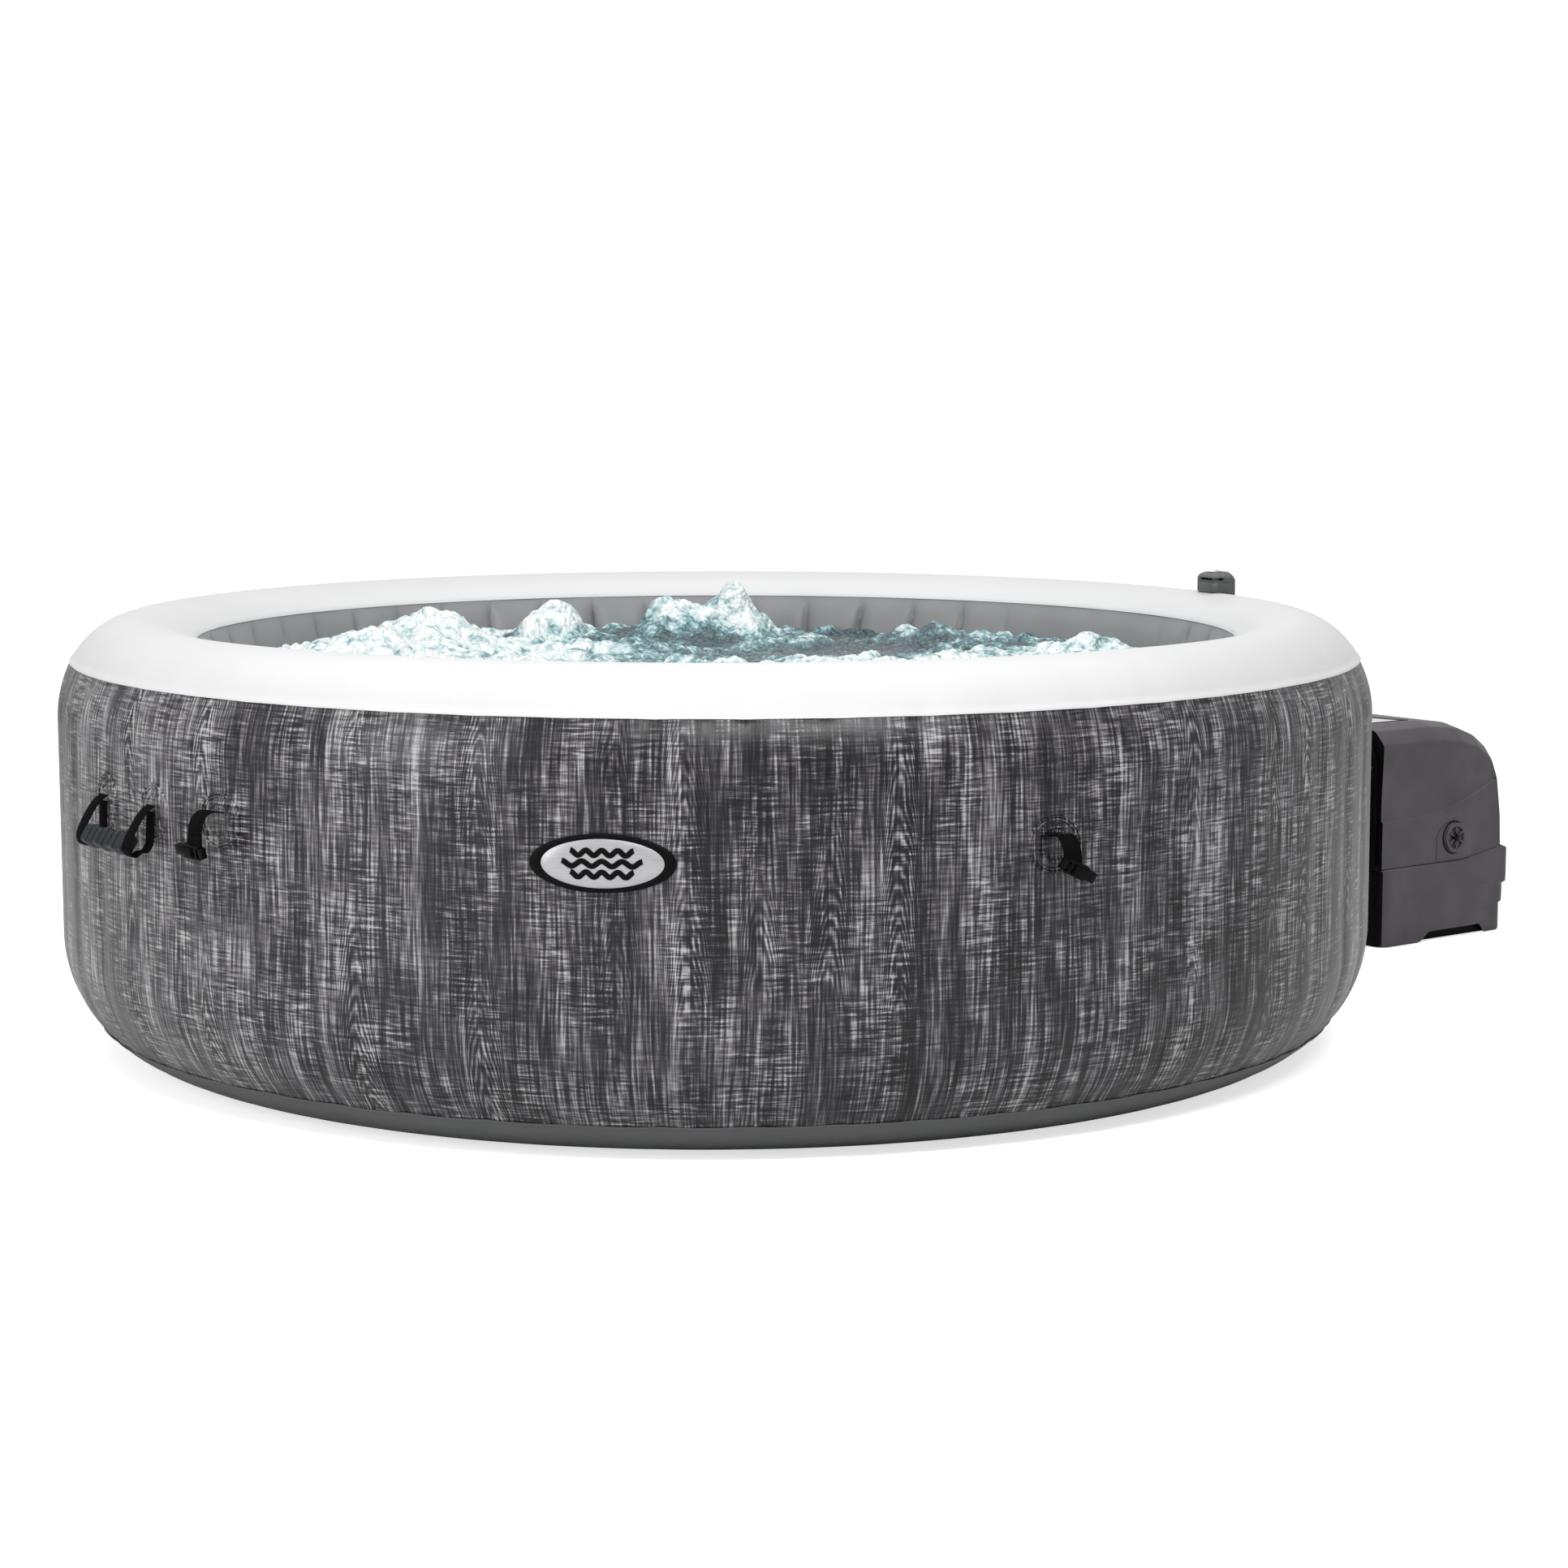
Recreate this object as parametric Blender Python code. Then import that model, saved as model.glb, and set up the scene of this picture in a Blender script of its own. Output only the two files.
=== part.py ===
"""Inflatable round hot tub with its hose-connected pump and heater unit, as separate pieces.

Metres, +Z up. The origin is on the tub's axis at floor level; the pump unit stands on the +X side and the
carry handle hangs on the -X side. An azimuth is measured from -Y towards +X, in degrees.
"""

import math

import bmesh
import bpy
from mathutils import Matrix, Vector

# Tub
TUB_RADIUS = 1.080
BEAM_COUNT = 52  # vertical webs inside the air chamber, and facets of every tub sheet
SHEET = 0.003
GAP = 0.0005
LOWER_ARC_CENTRE = (0.900, 0.200)
UPPER_ARC_CENTRE = (0.955, 0.545)
CROWN_HEIGHT = 0.712
BAND_SEAM_Z = 0.055
RIM_SEAM_Z = 0.637
SEAM_GAP = 0.0012
INNER_WALL = [(0.8615, 0.6710), (0.846, 0.640), (0.832, 0.580), (0.826, 0.480), (0.826, 0.140), (0.846, 0.0110)]
FLOOR_RADIUS = 0.878
BASIN_FLOOR_TOP = 0.0095

# Hardware on the outer wall
HANDLE_AZIMUTH = -91.0
HANDLE_HINGE = (1.0795, 0.468)  # radius, height
HANDLE_HALF_SPAN = 0.0775
HANDLE_STRAP_WIDTH = 0.020
GRIP_HALF_LENGTH = 0.066
HANDLE_DROP = 0.066
HANDLE_TILT = math.radians(32)  # how far the hanging handle stands off the wall
# Each cover strap: azimuth, hinge height, drop to its buckle, buckle's sideways shift and roll in degrees.
STRAPS = [
    (-78.3, 0.474, 0.054, -0.010, 0.0), (-10.9, 0.460, 0.040, 0.006, 24.0), (62.0, 0.462, 0.044, 0.0, -8.0),
    (133.0, 0.462, 0.046, 0.004, 10.0), (205.0, 0.462, 0.042, -0.004, -14.0),
]
STRAP_HINGE_RADIUS = 1.0835
BUCKLE_SIZE = (0.060, 0.012, 0.022)
STRAP_WIDTH = 0.025
WEBBING = 0.002
BADGE_AZIMUTH = -45.2
BADGE_SIZE = (0.205, 0.082)
BADGE_HEIGHT = 0.437
AIR_VALVE = (68.0, 0.200)  # azimuth, height
DRAIN_VALVE = (112.0, 0.210)

# Wall ports on the +X side: y at the tub, z at the tub, y at the pump, z at the pump, tube radius
PORTS = {
    "inlet": (-0.115, 0.235, -0.100, 0.205, 0.024),
    "outlet": (0.115, 0.235, 0.100, 0.205, 0.024),
    "air": (0.000, 0.360, 0.000, 0.320, 0.016),
}
PORT_WALL = 0.005
FLANGE = 0.012  # how far a flange stands out past its tube
HOSE_START = 1.1185
HOSE_END = 1.3945
HOSE_SAG = 0.012

# Pump and heater unit
PUMP_TUB_SIDE = 1.432
PUMP_HALF_WIDTH = 0.186
BELT_Z = 0.150
HOOD_TOP = 0.421
HOOD_PROFILE = [
    (1.432, HOOD_TOP), (1.560, HOOD_TOP), (1.640, 0.413), (1.695, 0.394), (1.735, 0.366),
    (1.762, 0.325), (1.776, 0.265), (1.783, 0.1505),
]
HOOD_CHAMFER = [(0.186, 0.058), (0.168, 0.024), (0.128, 0.0)]  # half width, drop below the profile
SHELL = 0.003
SERVICE_CAP = (1.632, 0.196)

# Rim dock with its control panel
DOCK_AZIMUTH = 77.0
DOCK_RADIUS = 0.972
DOCK_SIZE = (0.062, 0.050)  # along the rim, across the rim


def clear_scene():
    for obj in list(bpy.data.objects):
        bpy.data.objects.remove(obj, do_unlink=True)


def finish(name, colour, roughness, metallic=0.0):
    material = bpy.data.materials.new(name)
    material.use_nodes = True
    shader = material.node_tree.nodes["Principled BSDF"]
    shader.inputs["Base Color"].default_value = (*colour, 1.0)
    shader.inputs["Roughness"].default_value = roughness
    shader.inputs["Metallic"].default_value = metallic
    return material


def make_finishes():
    return {
        "wood_print": finish("wood_print_pvc", (0.13, 0.12, 0.13), 0.45),
        "white": finish("white_pvc", (0.90, 0.90, 0.91), 0.5),
        "grey": finish("grey_pvc", (0.32, 0.33, 0.33), 0.5),
        "webbing": finish("black_webbing", (0.012, 0.012, 0.013), 0.85),
        "black": finish("black_plastic", (0.010, 0.010, 0.011), 0.4),
        "grip": finish("slate_plastic", (0.06, 0.075, 0.085), 0.55),
        "badge": finish("badge_silver", (0.55, 0.55, 0.56), 0.35, 0.6),
        "charcoal": finish("charcoal_plastic", (0.075, 0.072, 0.078), 0.55),
        "label": finish("label_grey", (0.62, 0.62, 0.63), 0.4),
        "fitting": finish("fitting_plastic", (0.45, 0.46, 0.47), 0.45),
        "hose": finish("hose_pvc", (0.30, 0.31, 0.32), 0.5),
        "steel": finish("stainless_steel", (0.62, 0.62, 0.60), 0.3, 1.0),
        "copper_wound": finish("motor_enamel", (0.10, 0.10, 0.11), 0.4),
        "board": finish("circuit_board", (0.02, 0.16, 0.06), 0.5),
        "paper": finish("filter_paper", (0.82, 0.83, 0.85), 0.9),
        "screen": finish("display_glass", (0.02, 0.03, 0.05), 0.1),
        "button": finish("button_rubber", (0.25, 0.26, 0.28), 0.6),
    }


def add(name, bm, material, location=(0, 0, 0), turn=0.0, flat=False):
    """Makes an object from a bmesh, with its faces pointing out, at a place and a turn about Z."""
    bmesh.ops.remove_doubles(bm, verts=bm.verts, dist=1e-6)
    bmesh.ops.recalc_face_normals(bm, faces=bm.faces)
    mesh = bpy.data.meshes.new(name)
    bm.to_mesh(mesh)
    bm.free()
    mesh.materials.append(material)
    if not flat:
        mesh.shade_smooth()
        mesh.set_sharp_from_angle(angle=math.radians(35))
    obj = bpy.data.objects.new(name, mesh)
    bpy.context.scene.collection.objects.link(obj)
    obj.location = location
    obj.rotation_euler.z = turn
    return obj


def on_wall(azimuth, radius, height):
    """The place and turn of a piece modelled facing -Y, for a point at this azimuth."""
    angle = math.radians(azimuth)
    return (radius * math.sin(angle), -radius * math.cos(angle), height), angle


def thicken(points, thickness):
    """A closed outline around an open run of 2-D points: the run itself, and its copy moved to the left."""
    run = [Vector(point) for point in points]
    normals = []
    for start, end in zip(run, run[1:]):
        along = (end - start).normalized()
        normals.append(Vector((-along.y, along.x)))
    moved = []
    for index, point in enumerate(run):
        before = normals[max(index - 1, 0)]
        after = normals[min(index, len(normals) - 1)]
        middle = (before + after).normalized()
        moved.append(point + middle * (thickness / middle.dot(after)))
    return run + moved[::-1]


def outline(bm, points, place):
    verts = [bm.verts.new(place(*point)) for point in points]
    edges = [bm.edges.new((a, b)) for a, b in zip(verts, verts[1:] + verts[:1])]
    return verts, edges


def turned(loop, steps, axis="Z"):
    """A bmesh of a closed (radius, height) outline spun about Z, X or Y."""
    bm = bmesh.new()
    verts, edges = outline(bm, loop, lambda r, z: (r, 0, z))
    bmesh.ops.spin(bm, geom=verts + edges, cent=(0, 0, 0), axis=(0, 0, 1), angle=math.tau, steps=steps, use_merge=True)
    bmesh.ops.remove_doubles(bm, verts=bm.verts, dist=1e-6)
    if axis == "X":
        bmesh.ops.rotate(bm, verts=bm.verts, matrix=Matrix.Rotation(math.pi / 2, 3, "Y"))
    if axis == "Y":
        bmesh.ops.rotate(bm, verts=bm.verts, matrix=Matrix.Rotation(math.pi / 2, 3, "X"))
    return bm


def prism(points, depth, place):
    """A bmesh of a closed 2-D outline, put in space by place and extruded by the vector depth."""
    bm = bmesh.new()
    verts, _ = outline(bm, points, place)
    face = bm.faces.new(verts)
    grown = bmesh.ops.extrude_face_region(bm, geom=[face])["geom"]
    bmesh.ops.translate(bm, verts=[v for v in grown if isinstance(v, bmesh.types.BMVert)], vec=depth)
    return bm


def block(low, high, bevel=0.0, segments=2):
    bm = bmesh.new()
    bmesh.ops.create_cube(bm, size=1.0)
    low, high = Vector(low), Vector(high)
    bmesh.ops.scale(bm, verts=bm.verts, vec=high - low)
    bmesh.ops.translate(bm, verts=bm.verts, vec=(low + high) / 2)
    if bevel:
        bmesh.ops.bevel(
            bm, geom=bm.edges[:], offset=bevel, segments=segments, profile=0.5, affect="EDGES", material=-1
        )
    return bm


def cutter(name, bm):
    """A shape that is only taken away from others."""
    obj = add(name, bm, None)
    obj.data.materials.clear()
    obj.hide_render = True
    obj.display_type = "WIRE"
    return obj


def join_shape(obj, other, operation):
    boolean = obj.modifiers.new(operation.lower(), "BOOLEAN")
    boolean.operation = operation
    boolean.object = other


def ring(name, inner, outer, low, high, material, steps=16, axis="Z", location=(0, 0, 0)):
    loop = [(outer, high), (outer, low), (inner, low), (inner, high)]
    return add(name, turned(loop, steps, axis), material, location)


def hollow_hose(name, path, outer, inner, sides, material):
    """A tube with open ends that follows a path lying mostly along X."""
    bm = bmesh.new()
    skins = []
    for radius in (outer, inner):
        loops = []
        for point in path:
            made = bmesh.ops.create_circle(bm, segments=sides, radius=radius)["verts"]
            bmesh.ops.rotate(bm, verts=made, matrix=Matrix.Rotation(math.pi / 2, 3, "Y"))
            bmesh.ops.translate(bm, verts=made, vec=point)
            loops.append(made)
        skins.append(loops)
    walls = [*zip(skins[0], skins[0][1:]), *zip(skins[1], skins[1][1:])]
    walls += [(skins[0][0], skins[1][0]), (skins[0][-1], skins[1][-1])]
    for first, second in walls:
        for index in range(sides):
            after = (index + 1) % sides
            bm.faces.new((first[index], first[after], second[after], second[index]))
    return add(name, bm, material)


def lower_arc(start, end, count):
    """Points of the rounded foot of the chamber, by angle from straight down."""
    r, z = LOWER_ARC_CENTRE
    angles = [start + (end - start) * step / count for step in range(count + 1)]
    return [(r + (TUB_RADIUS - r) * math.sin(a), z - z * math.cos(a)) for a in angles]


def upper_arc(start, end, count):
    """Points of the rounded shoulder of the chamber, by angle above level."""
    r, z = UPPER_ARC_CENTRE
    angles = [start + (end - start) * step / count for step in range(count + 1)]
    return [(r + (TUB_RADIUS - r) * math.cos(a), z + (CROWN_HEIGHT - z) * math.sin(a)) for a in angles]


def crown_height(radius):
    r, z = UPPER_ARC_CENTRE
    return z + (CROWN_HEIGHT - z) * math.sqrt(1 - ((radius - r) / (TUB_RADIUS - r)) ** 2)


def rim_angle(height):
    _, z = UPPER_ARC_CENTRE
    return math.asin((height - z) / (CROWN_HEIGHT - z))


def make_tub(finishes):
    """The sheets of the air chamber, from the floor up, and the webs that hold it in shape."""
    seam_angle = math.acos(1 - BAND_SEAM_Z / LOWER_ARC_CENTRE[1])
    band = [(FLOOR_RADIUS + GAP, 0.0), *lower_arc(0.0, seam_angle - 0.006, 4)]
    add("bottom_band", turned(thicken(band, SHEET), BEAM_COUNT), finishes["grey"])

    disc = [(0, 0), (FLOOR_RADIUS, 0), (FLOOR_RADIUS, SHEET), (0, SHEET)]
    add("bottom_sheet", turned(disc, BEAM_COUNT), finishes["grey"])
    basin = [(0, SHEET + GAP), (0.852, SHEET + GAP), (0.852, BASIN_FLOOR_TOP), (0, BASIN_FLOOR_TOP)]
    add("basin_floor", turned(basin, BEAM_COUNT), finishes["grey"])

    wall = [*lower_arc(seam_angle, math.pi / 2, 3), *upper_arc(0.0, rim_angle(RIM_SEAM_Z), 3)]
    outer_wall = add("outer_wall", turned(thicken(wall, SHEET), BEAM_COUNT), finishes["wood_print"])

    rim = upper_arc(rim_angle(RIM_SEAM_Z + SEAM_GAP), math.pi / 2, 4) + [(0.908, 0.7045), (0.864, 0.6768)]
    add("top_ring", turned(thicken(rim, SHEET), BEAM_COUNT), finishes["white"])
    inner_wall = add("inner_wall", turned(thicken(INNER_WALL, SHEET), BEAM_COUNT), finishes["grey"])

    for name, (y, z, _, _, radius) in PORTS.items():
        drill = bmesh.new()
        bmesh.ops.create_cone(
            drill, cap_ends=True, segments=16, radius1=radius + GAP, radius2=radius + GAP, depth=0.5
        )
        bmesh.ops.rotate(drill, verts=drill.verts, matrix=Matrix.Rotation(math.pi / 2, 3, "Y"))
        bmesh.ops.translate(drill, verts=drill.verts, vec=(0.95, y, z))
        hole = cutter(name + "_hole", drill)
        join_shape(outer_wall, hole, "DIFFERENCE")
        join_shape(inner_wall, hole, "DIFFERENCE")

    gap_angle = 14.0  # the webs stop short of the moulded port area
    turns = BEAM_COUNT - 4
    zigzag = []
    for index in range(turns + 1):
        angle = math.radians(gap_angle + (360 - 2 * gap_angle) * index / turns)
        radius = 1.058 if index % 2 else 0.848
        zigzag.append((radius * math.cos(angle), radius * math.sin(angle)))
    webs = prism(thicken(zigzag, 0.004), (0, 0, 0.40), lambda x, y: (x, y, 0.16))
    add("internal_beams", webs, finishes["white"], flat=True)

    tube = [(0.790 + 0.011 * math.cos(a), 0.0215 + 0.011 * math.sin(a)) for a in
            (math.tau * step / 6 for step in range(6))]
    add("bubble_ring", turned(tube, BEAM_COUNT), finishes["grey"])


def make_badge(finishes):
    """An oval plate bent round the wall."""
    columns, rows = 12, 6
    bm = bmesh.new()
    bmesh.ops.create_grid(bm, x_segments=columns, y_segments=rows, size=1.0)
    flat_face = bm.faces[:]
    grown = bmesh.ops.extrude_face_region(bm, geom=flat_face)["geom"]
    outer_verts = {v for v in grown if isinstance(v, bmesh.types.BMVert)}
    for vert in bm.verts:
        x, y, _ = vert.co
        across = x * math.sqrt(1 - y * y / 2) * BADGE_SIZE[0] / 2
        up = y * math.sqrt(1 - x * x / 2) * BADGE_SIZE[1] / 2
        radius = TUB_RADIUS + (0.004 if vert in outer_verts else 0.001)
        angle = math.radians(BADGE_AZIMUTH) + across / TUB_RADIUS
        vert.co = (radius * math.sin(angle), -radius * math.cos(angle), BADGE_HEIGHT + up)
    add("badge", bm, finishes["badge"])


def make_handle(finishes):
    """A webbing strap bent to a U, with a moulded grip slid over its middle."""
    radius, height = HANDLE_HINGE
    location, turn = on_wall(HANDLE_AZIMUTH, radius, height)
    tilt = Matrix.Rotation(-HANDLE_TILT, 3, "X")
    half_width = HANDLE_STRAP_WIDTH / 2
    outer_half, inner_half = HANDLE_HALF_SPAN + half_width, HANDLE_HALF_SPAN - half_width
    low, high = -HANDLE_DROP - half_width, -HANDLE_DROP + half_width
    shape = [
        (-outer_half, 0.0), (-outer_half, low + 0.018), (-outer_half + 0.018, low), (outer_half - 0.018, low),
        (outer_half, low + 0.018), (outer_half, 0.0), (inner_half, 0.0), (inner_half, high),
        (-inner_half, high), (-inner_half, 0.0),
    ]
    webbing = prism(shape, (0, WEBBING, 0), lambda x, z: (x, -WEBBING / 2, z))
    bmesh.ops.rotate(webbing, verts=webbing.verts, matrix=tilt)
    add("handle_webbing", webbing, finishes["webbing"], location, turn, flat=True)

    half = GRIP_HALF_LENGTH
    grip = block((-half, -0.012, low - 0.006), (half, 0.012, high + 0.006), 0.007)
    bmesh.ops.rotate(grip, verts=grip.verts, matrix=tilt)
    grip_piece = add("handle_grip", grip, finishes["grip"], location, turn)
    slot = block((-0.2, -WEBBING / 2 - GAP, low - GAP), (0.2, WEBBING / 2 + GAP, high + GAP))
    bmesh.ops.rotate(slot, verts=slot.verts, matrix=tilt)
    passage = cutter("grip_slot", slot)
    passage.location, passage.rotation_euler.z = location, turn
    join_shape(grip_piece, passage, "DIFFERENCE")


def make_straps(finishes):
    """Five cover straps: each a curl of webbing with one half of a side-release buckle on its end."""
    length, thickness, tall = BUCKLE_SIZE
    for number, (azimuth, height, drop, shift, roll) in enumerate(STRAPS, start=1):
        location, turn = on_wall(azimuth, STRAP_HINGE_RADIUS, height)
        curl = [(0.0, 0.0), (-0.022, 0.004), (-0.037, -0.004), (-0.044, -0.020), (-0.044, -drop)]
        band = prism(thicken(curl, WEBBING), (STRAP_WIDTH, 0, 0), lambda y, z: (-STRAP_WIDTH / 2, y, z))
        add(f"strap_{number}", band, finishes["webbing"], location, turn)
        # a rolled buckle hangs a little lower, so that its corner stays below the webbing
        tilt = math.radians(roll)
        lowered = -drop - GAP - tall / 2 - (length / 2 + abs(shift)) * abs(math.sin(tilt))
        buckle = block((-length / 2, -thickness / 2, -tall / 2), (length / 2, thickness / 2, tall / 2), 0.003, 1)
        bmesh.ops.rotate(buckle, verts=buckle.verts, matrix=Matrix.Rotation(tilt, 3, "Y"))
        bmesh.ops.translate(buckle, verts=buckle.verts, vec=(shift, -0.044, lowered))
        add(f"buckle_{number}", buckle, finishes["black"], location, turn)


def make_valve(name, azimuth, height, finishes):
    """A flanged valve seat on the wall with its screw cap."""
    seat = [(0.030, 0.006), (0.030, 0.0), (0.006, 0.0), (0.006, 0.012), (0.014, 0.012), (0.014, 0.006)]
    cap = [(0.023, 0.020), (0.023, 0.0065), (0.0145, 0.0065), (0.0145, 0.0125), (0.0, 0.0125), (0.0, 0.020)]
    location, turn = on_wall(azimuth, TUB_RADIUS + 0.001, height)
    add(name, turned(seat, 20, "Y"), finishes["fitting"], location, turn)
    add(name + "_cap", turned(cap, 20, "Y"), finishes["black"], location, turn)


def make_ports(finishes):
    """Through-wall fittings, coupling nuts and the hoses to the pump."""
    inner_radius = INNER_WALL[3][0]
    for name, (y, z, pump_y, pump_z, radius) in PORTS.items():
        flange = radius + FLANGE
        inside = math.sqrt(inner_radius**2 - (abs(y) + flange) ** 2) - 0.010
        outside = math.sqrt(TUB_RADIUS**2 - max(abs(y) - flange, 0) ** 2) + 0.001
        tip = HOSE_START - GAP
        fitting = [
            (flange, inside), (flange, inside + 0.006), (radius, inside + 0.006), (radius, outside),
            (flange, outside), (flange, outside + 0.005), (radius, outside + 0.005), (radius, tip),
            (radius - PORT_WALL, tip), (radius - PORT_WALL, inside),
        ]
        add(name + "_fitting", turned(fitting, 16, "X"), finishes["fitting"], (0, y, z))
        straight = 0.032
        path = [(HOSE_START, y, z), (HOSE_START + straight, y, z)]
        run = HOSE_END - HOSE_START - 2 * straight
        for step in range(1, 8):
            share = step / 8
            blend = share * share * (3 - 2 * share)
            sag = HOSE_SAG * math.sin(math.pi * share) ** 2
            place = (HOSE_START + straight + run * share, y + (pump_y - y) * blend, z + (pump_z - z) * blend - sag)
            path.append(place)
        path += [(HOSE_END - straight, pump_y, pump_z), (HOSE_END, pump_y, pump_z)]
        hollow_hose(name + "_hose", path, radius - 0.001, radius - PORT_WALL, 12, finishes["hose"])
        sleeve = radius + GAP
        ring(
            name + "_tub_nut", sleeve, radius + 0.009, 1.100, 1.144, finishes["black"], axis="X", location=(0, y, z)
        )
        ring(
            name + "_pump_nut", sleeve, radius + 0.009, 1.372, 1.416, finishes["black"], axis="X",
            location=(0, pump_y, pump_z),
        )


def make_filter(finishes):
    """The cartridge filter that clips on the inlet fitting, inside the basin."""
    y = PORTS["inlet"][0]
    radius = PORTS["inlet"][4]
    flange_face = math.sqrt(INNER_WALL[3][0] ** 2 - (abs(y) + radius + FLANGE) ** 2) - 0.010
    at = (flange_face - 0.0555, y, 0)
    cup = [(0.055, 0.345), (0.055, 0.125), (0.0, 0.125), (0.0, 0.129), (0.051, 0.129), (0.051, 0.345)]
    add("filter_housing", turned(cup, 24), finishes["fitting"], at)
    ring("filter_cartridge", 0.018, 0.046, 0.130, 0.340, finishes["paper"], 24, location=at)
    lid = [
        (0.057, 0.358), (0.057, 0.3455), (0.0, 0.3455), (0.0, 0.372), (0.016, 0.372), (0.016, 0.358),
    ]
    add("filter_cap", turned(lid, 24), finishes["black"], at)


def hood_points():
    points = []
    for half_width, drop in HOOD_CHAMFER:
        for x, z in HOOD_PROFILE:
            low = max(z - drop, BELT_Z + GAP)
            inset = drop * 0.35 if x > 1.6 else 0.0
            points += [(x - inset, half_width, low), (x - inset, -half_width, low)]
    for x in (PUMP_TUB_SIDE, HOOD_PROFILE[-1][0]):
        points += [(x, PUMP_HALF_WIDTH, BELT_Z + GAP), (x, -PUMP_HALF_WIDTH, BELT_Z + GAP)]
    return points


def rounded_rectangle(low, high, radius, steps=3):
    """Points round a rectangle with round corners, anticlockwise."""
    points = []
    corners = [(high[0], high[1], 0), (low[0], high[1], 1), (low[0], low[1], 2), (high[0], low[1], 3)]
    for x, y, quarter in corners:
        centre = (x - math.copysign(radius, x - (low[0] + high[0]) / 2), y - math.copysign(radius, y))
        for step in range(steps + 1):
            angle = math.pi / 2 * (quarter + step / steps)
            points.append((centre[0] + radius * math.cos(angle), centre[1] + radius * math.sin(angle)))
    return points


def make_casing(finishes):
    """The pump unit's skirted base, its hood, and what is on their outsides."""
    low, high = (1.430, -0.192), (1.797, 0.192)
    skirt = prism(rounded_rectangle(low, high, 0.022), (0, 0, BELT_Z), lambda x, y: (x, y, 0))
    base = add("pump_base", skirt, finishes["charcoal"])
    inner_low, inner_high = (low[0] + SHELL, low[1] + SHELL), (high[0] - SHELL, high[1] - SHELL)
    well = prism(rounded_rectangle(inner_low, inner_high, 0.019), (0, 0, 0.2), lambda x, y: (x, y, 0.026))
    join_shape(base, cutter("base_well", well), "DIFFERENCE")
    arch = block((1.540, -0.3, -0.05), (1.728, 0.3, 0.020), 0.014)
    join_shape(base, cutter("base_arch", arch), "DIFFERENCE")

    hood = bmesh.new()
    for point in hood_points():
        hood.verts.new(point)
    bmesh.ops.remove_doubles(hood, verts=hood.verts, dist=1e-5)
    made = bmesh.ops.convex_hull(hood, input=hood.verts)
    spare = [v for v in made["geom_interior"] if isinstance(v, bmesh.types.BMVert)]
    bmesh.ops.delete(hood, geom=spare, context="VERTS")
    bmesh.ops.recalc_face_normals(hood, faces=hood.faces)
    hood.faces.ensure_lookup_table()
    under = [face for face in hood.faces if face.normal.z < -0.99]
    bmesh.ops.delete(hood, geom=under, context="FACES")
    shell = add("pump_hood", hood, finishes["charcoal"], flat=True)
    thickness = shell.modifiers.new("wall", "SOLIDIFY")
    thickness.thickness = SHELL
    thickness.offset = -1.0

    # The tub-facing plate carries the three hose spigots.
    plate_outline = [(-0.165, 0.160), (0.165, 0.160), (0.165, 0.355), (0.112, 0.411), (-0.112, 0.411), (-0.165, 0.355)]
    plate = add(
        "back_plate", prism(plate_outline, (0.006, 0, 0), lambda y, z: (1.4255, y, z)), finishes["black"], flat=True
    )
    for name, (_, _, pump_y, pump_z, radius) in PORTS.items():
        spigot = turned([(radius, 0.0), (radius, 0.034), (radius - PORT_WALL, 0.034), (radius - PORT_WALL, 0.0)], 16, "X")
        tube = cutter(name + "_spigot", spigot)
        tube.location = (HOSE_END + GAP, pump_y, pump_z)
        join_shape(plate, tube, "UNION")

    panel = [(1.584, 0.1525), (1.684, 0.1525), (1.682, 0.190)]
    for step in range(1, 8):
        angle = math.pi * step / 8
        panel.append((1.633 + 0.049 * math.cos(angle), 0.192 + 0.034 * math.sin(angle)))
    panel.append((1.584, 0.190))
    face = -PUMP_HALF_WIDTH - GAP
    add("access_panel", prism(panel, (0, -0.003, 0), lambda x, z: (x, face, z)), finishes["charcoal"], flat=True)
    # The service cap's outline dips between its six grips.
    grips = []
    for step in range(36):
        angle = math.tau * step / 36
        radius = 0.029 + 0.002 * math.cos(6 * angle)
        grips.append((radius * math.cos(angle), radius * math.sin(angle)))
    cap_face = face - 0.003 - GAP
    add(
        "service_cap", prism(grips, (0, -0.010, 0), lambda x, z: (x, 0, z)), finishes["charcoal"],
        (SERVICE_CAP[0], cap_face, SERVICE_CAP[1]), flat=True,
    )
    label = [(1.440, -0.118), (1.545, -0.118), (1.500, 0.060), (1.440, 0.060)]
    add("label_panel", prism(label, (0, 0, 0.0015), lambda x, y: (x, y, HOOD_TOP + GAP)), finishes["label"], flat=True)

    gland = [(0.014, 0.004), (0.014, 0.0), (0.005, 0.0), (0.005, 0.022), (0.009, 0.022), (0.010, 0.004)]
    gland_piece = add("cable_gland", turned(gland, 16, "Y"), finishes["black"], (1.700, 0.192 + GAP, 0.060))
    gland_piece.rotation_euler.z = math.pi


def motor_with_scroll(name, axis, location, material, scroll, motor):
    """A motor and the round housing on its end, whose cavity is open at the eye."""
    (scroll_radius, scroll_depth), (motor_radius, motor_length) = scroll, motor
    eye = scroll_radius * 0.35
    wall = 0.004
    top = scroll_depth + motor_length
    loop = [
        (eye, 0.0), (eye, wall), (scroll_radius - wall, wall), (scroll_radius - wall, scroll_depth - wall),
        (0.0, scroll_depth - wall), (0.0, top), (motor_radius, top), (motor_radius, scroll_depth),
        (scroll_radius, scroll_depth), (scroll_radius, 0.0),
    ]
    return add(name, turned(loop, 20, axis), material, location)


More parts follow.
